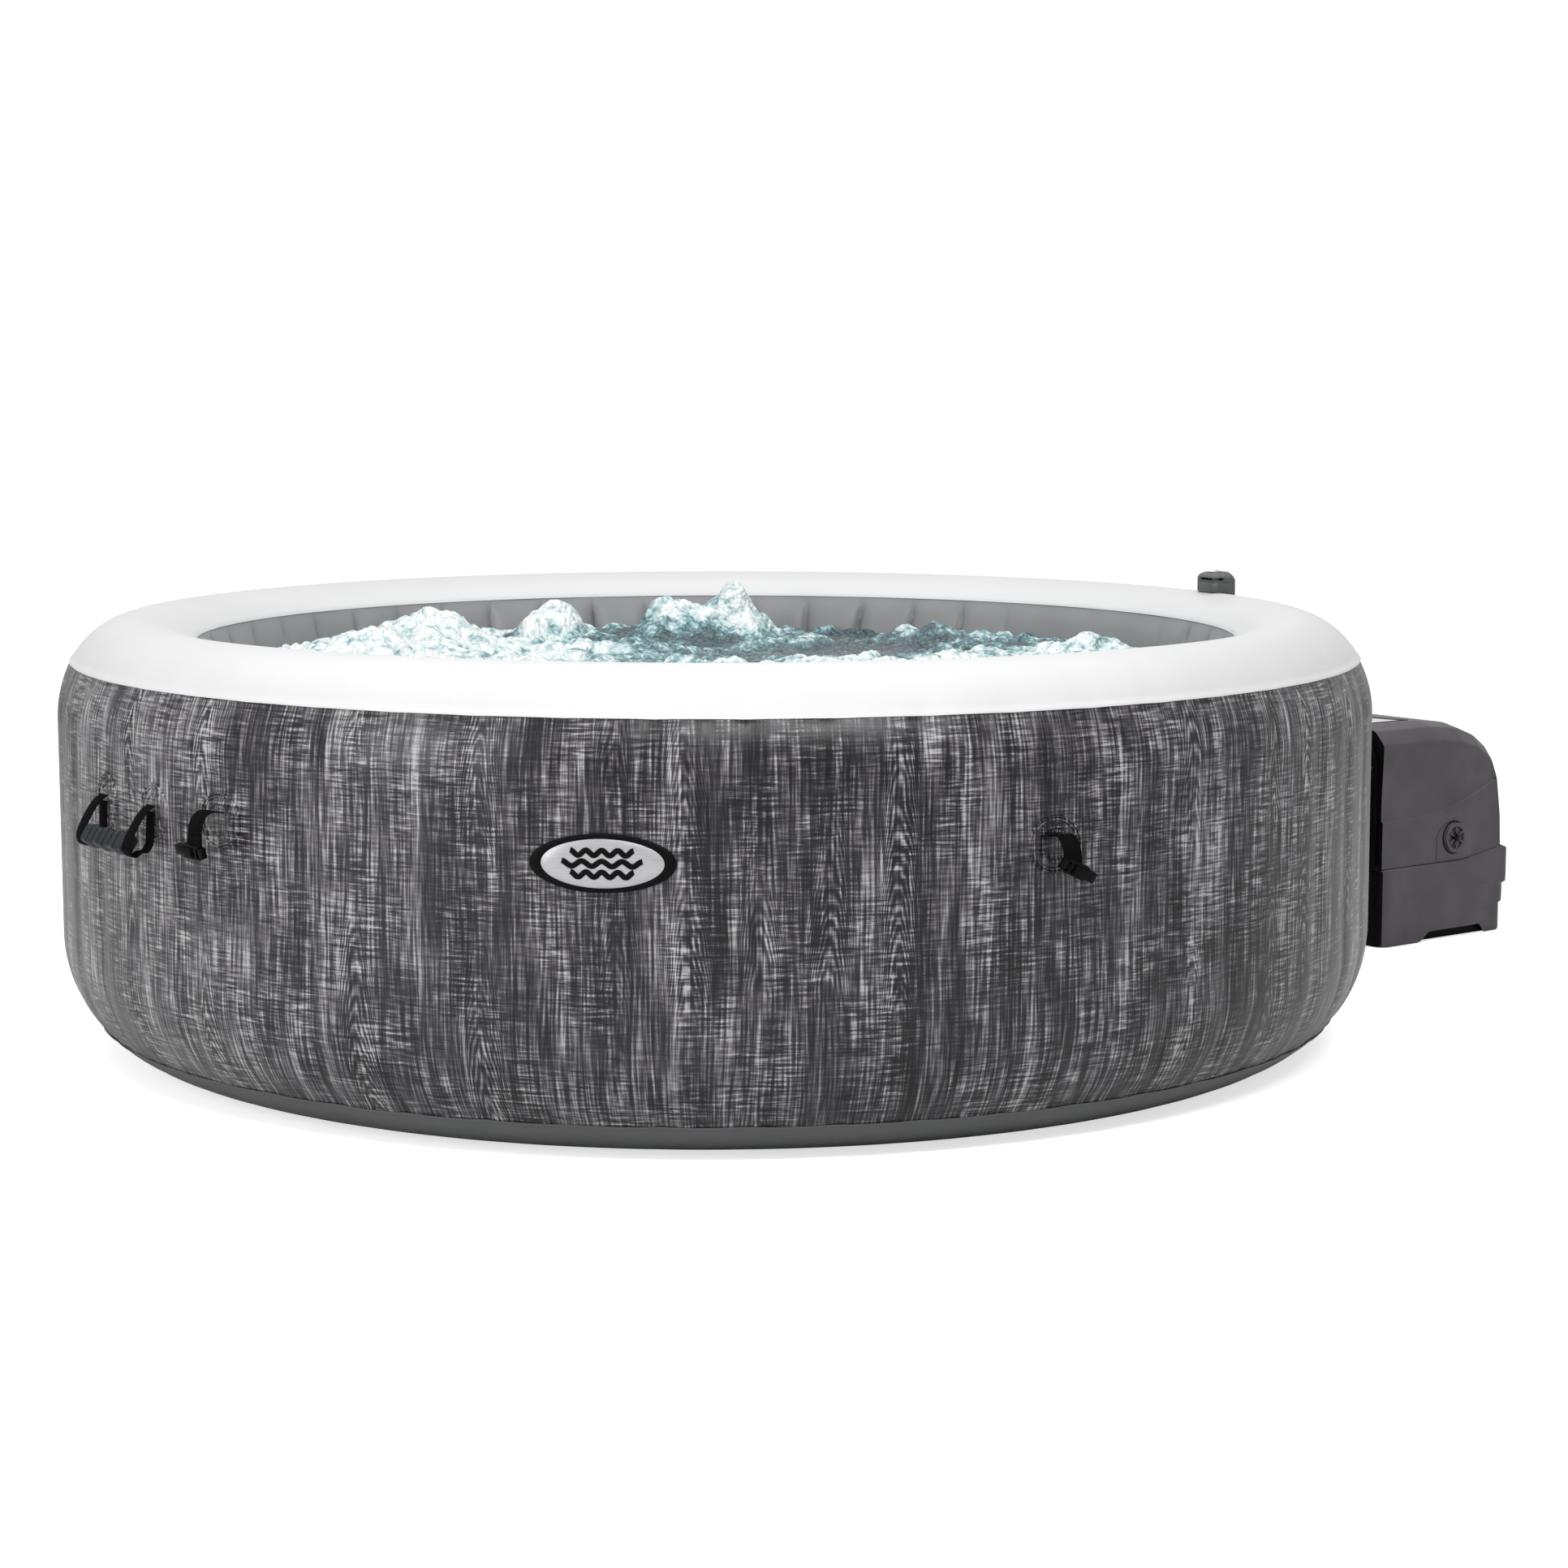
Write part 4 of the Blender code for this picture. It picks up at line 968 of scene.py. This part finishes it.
# ---- Pump and heater unit: skirted base ----
# A charcoal moulding that the works are bolted into. It has a raised flange round its top, two ledges that
# fade out along its sides, and an arch under each side. Its end facing the tub is painted black as the shade
# of the open back, and a black block fills the space under the arches as a painted shadow.

charcoal_moulding = moulded("charcoal_moulding", (0.07, 0.065, 0.071), 0.38, 650.0, 0.08, 0.22)
BASE_LOW, BASE_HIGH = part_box("pump_base")
BASE_CORNER = 0.024


def round_box(low, high, radius, inset=0.0, side_steps=48, corner_steps=8):
    """Points round a rectangle with round corners, shrunk by an inset."""
    low, high = Vector(low) + Vector((inset, inset)), Vector(high) - Vector((inset, inset))
    radius = max(radius - inset, 0.0008)
    arcs = []
    for quarter, (sx, sy) in enumerate(((1, 1), (-1, 1), (-1, -1), (1, -1))):
        corner = Vector((high.x if sx > 0 else low.x, high.y if sy > 0 else low.y))
        centre = corner - Vector((sx, sy)) * radius
        for step in range(corner_steps + 1):
            angle = math.pi / 2 * (quarter + step / corner_steps)
            arcs.append(centre + Vector((math.cos(angle), math.sin(angle))) * radius)
    points = []
    for index, point in enumerate(arcs):
        points.append(point)
        if (index + 1) % (corner_steps + 1) == 0:
            after = arcs[(index + 1) % len(arcs)]
            points += [point.lerp(after, step / side_steps) for step in range(1, side_steps)]
    return points


def shell(bm, thickness):
    bmesh.ops.recalc_face_normals(bm, faces=bm.faces)
    bmesh.ops.solidify(bm, geom=bm.faces[:], thickness=thickness)
    return bm


def painted_black_shade(piece, is_black):
    """The faces of a piece that pass a test get the black moulding, as painted shade."""
    piece.data.materials.append(black_moulding)
    for face in piece.data.polygons:
        if is_black(face):
            face.material_index = 1


def base_loop(level, inset):
    """One loop round the skirt: ledges step in near the outer end, and the foot rises over each arch."""
    loop = []
    for point in round_box(BASE_LOW.xy, BASE_HIGH.xy, BASE_CORNER, inset):
        step_in = 0.006 * smooth(0.0975 - level, 0.0, 0.0055) + 0.0045 * smooth(0.0585 - level, 0.0, 0.0055)
        x = point.x - step_in * smooth(point.x, 1.72, 1.79)
        y = point.y * (1 - step_in * 0.8 * smooth(point.x, 1.67, 1.76) / BASE_HIGH.y)
        arch = 0.0
        if abs(point.y) > 0.15:
            arch = 0.0195 * smooth(point.x, 1.532, 1.566) * (1 - smooth(point.x, 1.708, 1.734))
        # the lip over the joint with the hood rises towards the outer end, where it also reaches further in
        flange = 0.017 * smooth(point.x, 1.64, 1.785) * smooth(level, 0.115, 0.14)
        x -= 0.0075 * smooth(level, 0.1455, 0.15) * smooth(point.x, 1.77, 1.79)
        loop.append((x, y, max(level + flange, arch)))
    return loop


upright = [(level, 0) for level in (
    7, 14, 20.5, 30, 50, 53, 54.2, 55.6, 57.5, 75, 92, 93.2, 94.6, 96.5, 110, 125, 135, 142,
)]
BASE_ROWS = mm((0, 3.5), (0.8, 1.5), (3.5, 0.4), *upright, (146.2, 0.6), (148.6, 2), (149.7, 3.6), (150, 5.4))
skirt = shell(stacked([base_loop(*row) for row in BASE_ROWS], False, False), 0.0028)
skirt_piece = finished("pump_skirt", skirt, charcoal_moulding, "pump_base", "charcoal_plastic", angle=45.0)
# the skirt's end facing the tub is painted black, as the shade of the open back
painted_black_shade(skirt_piece, lambda face: face.normal.x < -0.6 and face.center.x < BASE_LOW.x + 0.006)
# the lower block is black to paint the shadow under the arches; the upper plate is the base's own floor
for name, low, depth in (("pump_base_floor", 0.0215, 0.004), ("arch_shadow_block", 0.0012, 0.0201)):
    outline = round_box(BASE_LOW.xy, BASE_HIGH.xy, BASE_CORNER, 0.0155, 8)
    finished(name, raised(outline, depth, 0.0006, 1, low), black_moulding, angle=45.0)

# ---- Pump and heater unit: hood ----
# One moulded shell drops over the works. Its top falls away in a long curve to the outer end; two facets join
# the top to each side, and a shallow step sweeps up along the sides.

HOOD_TOP, HOOD_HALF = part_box("pump_hood")[1].z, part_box("pump_hood")[1].y
HOOD_FOOT = BASE_HIGH.z + 0.0008
HOOD_CURVE = [(1.432, 0.0), (1.59, 0.0), (1.66, -0.008), (1.712, -0.026), (1.75, -0.054), (1.768, -0.098)]
HOOD_CURVE += [(1.779, -0.178), (1.783, HOOD_FOOT - HOOD_TOP)]


def filleted(points, radius, count=3):
    """A 2D line whose corners are cut round."""
    run = [Vector(point) for point in points]
    found = [run[0]]
    for before, corner, after in zip(run, run[1:], run[2:]):
        first, second = (before - corner).normalized() * radius, (after - corner).normalized() * radius
        for t in (step / count for step in range(count + 1)):
            found.append(corner + first * (1 - t) ** 2 + second * t ** 2)
    return found + [run[-1]]


def side_column(x, top, side):
    """From the belt up to the first facet, with the step, which sweeps up along the side, part of the way."""
    crease = 0.241 + 0.063 * (max(x - 1.5, 0.0) / 0.26) ** 2
    low_end, high_start = min(crease - 0.0024, top), min(crease + 0.0026, top)
    column = [(HOOD_FOOT + (low_end - HOOD_FOOT) * part, 0.0) for part in (0.0, 0.2, 0.4, 0.6, 0.8)]
    for offset, inward in ((-0.0024, 0.0), (-0.0012, 0.0005), (0.0, 0.002), (0.0012, 0.0035), (0.0026, 0.004)):
        column.append((min(crease + offset, top), inward if crease + offset < top else 0.0))
    fade = smooth(top - crease, 0.0, 0.03)
    for part in (0.25, 0.5, 0.75, 1.0):
        column.append((high_start + (top - high_start) * part, 0.004 * (1 - smooth(part, 0.2, 1.0)) * fade))
    return [(x, side * (HOOD_HALF - inward), level) for level, inward in column]


def hood_ring(point):
    """One cross-section: up one side, over the facets and the top, and down the other side."""
    section = [(HOOD_HALF, 0.052), (HOOD_HALF, 0.034), (0.163, 0.009), (0.128, 0.0), (0.0, 0.0)]
    facets = []
    for half, drop in filleted(section, 0.004)[1:]:
        x = HOOD_CURVE[0][0] + (point.x - HOOD_CURVE[0][0]) * (1 - drop)
        level = HOOD_FOOT + (HOOD_TOP + point.y - HOOD_FOOT) * (1 - drop / (HOOD_TOP - HOOD_FOOT))
        facets.append((x, half, level))
    x, _, top = facets[0]
    near = side_column(x, top, -1) + [(x, -half, level) for x, half, level in facets[1:]]
    far = side_column(x, top, 1) + [(x, half, level) for x, half, level in facets[1:-1]]
    return near + far[::-1]


corners = filleted(HOOD_CURVE, 0.011, 6)
hood_line = []
for start, end in zip(corners, corners[1:]):
    gaps = math.ceil((end - start).length / 0.012)
    hood_line += [start.lerp(end, step / gaps) for step in range(gaps)]
hood = shell(stacked([hood_ring(point) for point in [*hood_line, corners[-1]]], True, False, False), 0.0026)
hood_piece = finished("pump_hood_shell", hood, charcoal_moulding, "pump_hood", "charcoal_plastic", angle=35.0)
# the hood's end facing the tub is painted black, as the shade of the open back
painted_black_shade(hood_piece, lambda face: face.normal.x < -0.6 and face.center.x < 1.434)

# ---- Pump and heater unit: tub-facing plate, label and cable gland ----
# The black plate carries the three hose spigots. A plain light grey label with a black surround lies on the
# hood, and the supply cable would leave through the gland low on the far side.

PLATE = mm(
    (-172, 156), (172, 156), (172, 352), (158, 386), (120, 409), (-120, 409), (-158, 386), (-172, 352),
)
plate = moved(raised(PLATE, 0.0052, 0.0012, 2, 1.4258), ON_EDGE)
finished("pump_back_plate", plate, black_moulding, "back_plate", "black_plastic")
for name, (_, _, pump_y, pump_z, radius) in PORTS.items():
    spigot = spun([(radius, 0.0), (radius, 0.0308), (radius - 0.005, 0.0308), (radius - 0.005, 0.0)], 60)
    finished(f"{name}_spigot", on_pump_axis(spigot, HOSE_END + 0.0005, pump_y, pump_z), black_moulding)

SURROUND = [(1.4345, -0.1125), (1.572, -0.1185), (1.526, 0.08), (1.4345, 0.08)]
LABEL = [(1.436, -0.112), (1.542, -0.118), (1.5, 0.058), (1.436, 0.058)]
surround = raised(SURROUND, 0.0007, 0.0002, 1, HOOD_TOP + 0.0002)
finished("label_surround", surround, black_moulding, slot="black_plastic")
label_film = moulded("label_film", (0.58, 0.58, 0.59), 0.36, 500.0, 0.04)
label = raised(LABEL, 0.0007, 0.0002, 1, HOOD_TOP + 0.001)
finished("hood_label", label, label_film, "label_panel", "label_grey")

GLAND = mm((14, 0.4), (14, 3), (12.8, 4), (10, 4.4), (9.4, 20.5), (8.2, 22), (5.2, 22), (5.2, 0.4))
gland = moved(ribbed(GLAND, 96, 12, 0.0008, 0.009), Matrix.Rotation(math.pi, 4, "Z") @ OFF_WALL)
gland_low, gland_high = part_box("cable_gland")
placed(gland, (gland_low.x + gland_high.x) / 2, gland_low.y, (gland_low.z + gland_high.z) / 2)
finished("supply_cable_gland", gland, black_moulding, "cable_gland", "black_plastic")

# ---- Pump and heater unit: access panel and service cap ----
# An arched panel closes the side of the hood over the pump's service port. The round cap in it has six
# spokes round a black disc, painted in as the shade of the socket's hole, and unscrews by hand.


def on_hood_side(bm, x, z):
    """Stands a flat shape (x, y, depth) on the side of the hood, looking along -Y."""
    return placed(moved(bm, OFF_WALL), x, -HOOD_HALF - 0.0003, z)


arch_top = arc((0.0, 0.0385), 0.049, 0.034, 0.0, math.pi, 12)[1:-1]
PANEL = [(-0.049, 0.0), (0.051, 0.0), (0.0495, 0.037), *arch_top, (-0.0485, 0.037)]
panel = on_hood_side(raised(PANEL, 0.0012, 0.0006), 1.633, 0.153)
finished("service_panel", panel, charcoal_moulding, "access_panel", "charcoal_plastic", angle=30.0)
CAP_AT = (1.632, 0.196)
cap_ring = mm((21.5, 1.6), (21.5, 7.5), (22.8, 9), (26.2, 9.6), (28.8, 8.8), (29.8, 7), (30, 1.6))
ring = on_hood_side(ribbed(cap_ring, 144, 6, 0.0016, 0.029), *CAP_AT)
finished("service_cap_ring", ring, charcoal_moulding, "service_cap", "charcoal_plastic", "service_cap")
for part, outline, steps, material in (
    ("floor", ((0, 1.6), (21.2, 1.6), (21.2, 3), (0, 3)), 72, charcoal_moulding),
    # the black disc in the middle is painted shade standing in for the socket's hole
    ("hole_shade", ((0, 3.2), (7.2, 3.2), (7.2, 8.8), (6.4, 9.4), (0, 9.4)), 48, black_moulding),
    ("seal", ((30.4, 1.4), (32.2, 1.4), (32.2, 2.2), (30.4, 2.2)), 96, black_moulding),
):
    disc = on_hood_side(spun(mm(*outline), steps), *CAP_AT)
    finished(f"service_cap_{part}", disc, material, body="service_cap")
for index in range(6):
    spoke = raised(mm((7.4, -1.3), (21.3, -1.9), (21.3, 1.9), (7.4, 1.3)), 0.006, 0.0006, 2, 0.0031)
    moved(spoke, Matrix.Rotation(math.tau * (index + 0.5) / 6, 4, "Z"))
    finished(f"service_cap_spoke_{index + 1}", on_hood_side(spoke, *CAP_AT), charcoal_moulding, body="service_cap")

# ---- Inside the pump unit ----
# The works keep their simple shapes, since the casing hides them: a circulation pump and its impeller, a
# steel heater tube, an air blower and its fan, and a control board.

steel, steel_shader, steel_place = new_finish("brushed_steel", (0.62, 0.62, 0.6), 0.3, 1.0)
drawn = blotches(steel_place, 30.0, 3.0, (20.0, 1.0, 20.0))
spread(drawn, 0.22, 0.4).into(steel_shader["Roughness"])
coated("circulation_pump", moulded("motor_enamel_coat", (0.095, 0.095, 0.105), 0.4, 300.0))
coated("control_board", moulded("board_lacquer", (0.02, 0.16, 0.06), 0.45, 260.0))
coated("heater_tube", steel)
coated("impeller", fitting_moulding)
coated("blower_fan", fitting_moulding)
coated("air_blower", charcoal_moulding)

# ---- Rim dock and control panel ----
# A saddle is welded on the white rim beside the pump unit. The domed control panel lifts out of it; a hand
# slot is cut round one corner and painted black deep inside as shade, a rib runs over it, and the display and
# four keys face up.

DOCK_AT = (77.0, 0.972, 0.0)  # azimuth in degrees, radius and height
DOCK_LOW, DOCK_HIGH = (-0.031, -0.025), (0.031, 0.025)
SADDLE_TOP, PANEL_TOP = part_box("dock_base")[1].z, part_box("control_panel")[1].z
dock_moulding = moulded("dock_moulding", (0.072, 0.074, 0.074), 0.42, 700.0, 0.1)


def crown_level(radius):
    """Height of the rim's upper surface, which is level inside its crown."""
    across = max(radius - SHOULDER_CENTRE[0], 0.0) / (TUB_RADIUS - SHOULDER_CENTRE[0])
    return SHOULDER_CENTRE[1] + (CROWN - SHOULDER_CENTRE[1]) * math.sqrt(1 - across * across)


def saddle_loop(share, inset):
    """One loop of the saddle: its foot follows the rim and its top is level."""
    loop = []
    for point in round_box(DOCK_LOW, DOCK_HIGH, 0.011, inset, 12, 6):
        foot = crown_level(DOCK_AT[1] - point.y) + 0.001
        loop.append((point.x, point.y, foot + (SADDLE_TOP - foot) * share))
    return loop


saddle = stacked([saddle_loop(*row) for row in ((0.0, 0.0008), (0.1, 0.0), (0.95, 0.0), (1.0, 0.0006))])
finished("dock_saddle", hung(saddle, *DOCK_AT), dock_moulding, "dock_base", "charcoal_plastic")


def dome_loop(up, inset):
    """One loop of the control panel, pushed in at the hand slot and at the rib."""
    loop = []
    for point in round_box(DOCK_LOW, DOCK_HIGH, 0.011, inset, 12, 6):
        inner_corner = point.x < 0.018 and point.y > 0.004 and (point.y > 0.02 or point.x < -0.025)
        if 0.0038 < up < 0.0078 and inner_corner:
            point = point * 0.84
        if abs(point.y - 0.001) < 0.0014 and point.x < 0:
            point = point + Vector((-0.0007, 0.0))
        # the dome falls away towards the outside of the tub, past the keys
        fall = 0.0125 * smooth(-point.y, 0.0145, 0.0255) ** 1.5 * smooth(up, 0.002, PANEL_TOP - SADDLE_TOP)
        loop.append((point.x, point.y, SADDLE_TOP + up - fall))
    return loop


def shaded_in_hand_slot(face):
    """Whether a face of the dome lies deep in the slot, where it is painted black as shade."""
    turn = math.radians(DOCK_AT[0])
    dip = face.center.xy - Vector((math.sin(turn), -math.cos(turn))) * DOCK_AT[1]
    return SADDLE_TOP + 0.0036 < face.center.z < SADDLE_TOP + 0.0079 and dip.length < 0.0285


rise = PANEL_TOP - SADDLE_TOP
DOME_ROWS = mm((0.4, 0.3), (0.8, 0), (3.6, 0), (4, 0), (7.6, 0.2), (8, 0.4), (10.5, 1.8), (12.8, 4.2), (14.4, 7.2))
dome = stacked([dome_loop(*row) for row in [*DOME_ROWS, (rise - 0.0006, 0.0092), (rise, 0.0106)]])
hung(dome, *DOCK_AT)
panel_names = ("control_panel", "charcoal_plastic", "control_panel")  # node, slot and body
dome_piece = finished("control_panel_dome", dome, dock_moulding, *panel_names)
# faces deep in the hand slot are painted black as shade
painted_black_shade(dome_piece, shaded_in_hand_slot)
glass, glass_shader, glass_place = new_finish("display_glass", (0.02, 0.03, 0.05), 0.08)
spread(blotches(glass_place, 60.0, 3.0), 0.05, 0.16).into(glass_shader["Roughness"])
pane_outline = round_box((-0.016, 0.0), (0.016, 0.014), 0.0022, 0.0, 4, 4)
pane = hung(raised(pane_outline, 0.0009, 0.0003, 1, PANEL_TOP + 0.0003), *DOCK_AT)
finished("display_pane", pane, glass, "display_window", "display_glass", "control_panel")
key_rubber = moulded("key_rubber", (0.22, 0.23, 0.25), 0.6, 800.0)
for index in range(4):
    key = spun(mm((0, 0), (3.6, 0), (3.8, 0.3), (3.8, 1.2), (3.4, 1.7), (0, 1.9)), 32)
    hung(placed(key, -0.0165 + 0.011 * index, -0.011, PANEL_TOP + 0.0001), *DOCK_AT)
    finished(f"key_{index + 1}", key, key_rubber, f"button_{index + 1}", "button_rubber", f"button_{index + 1}")
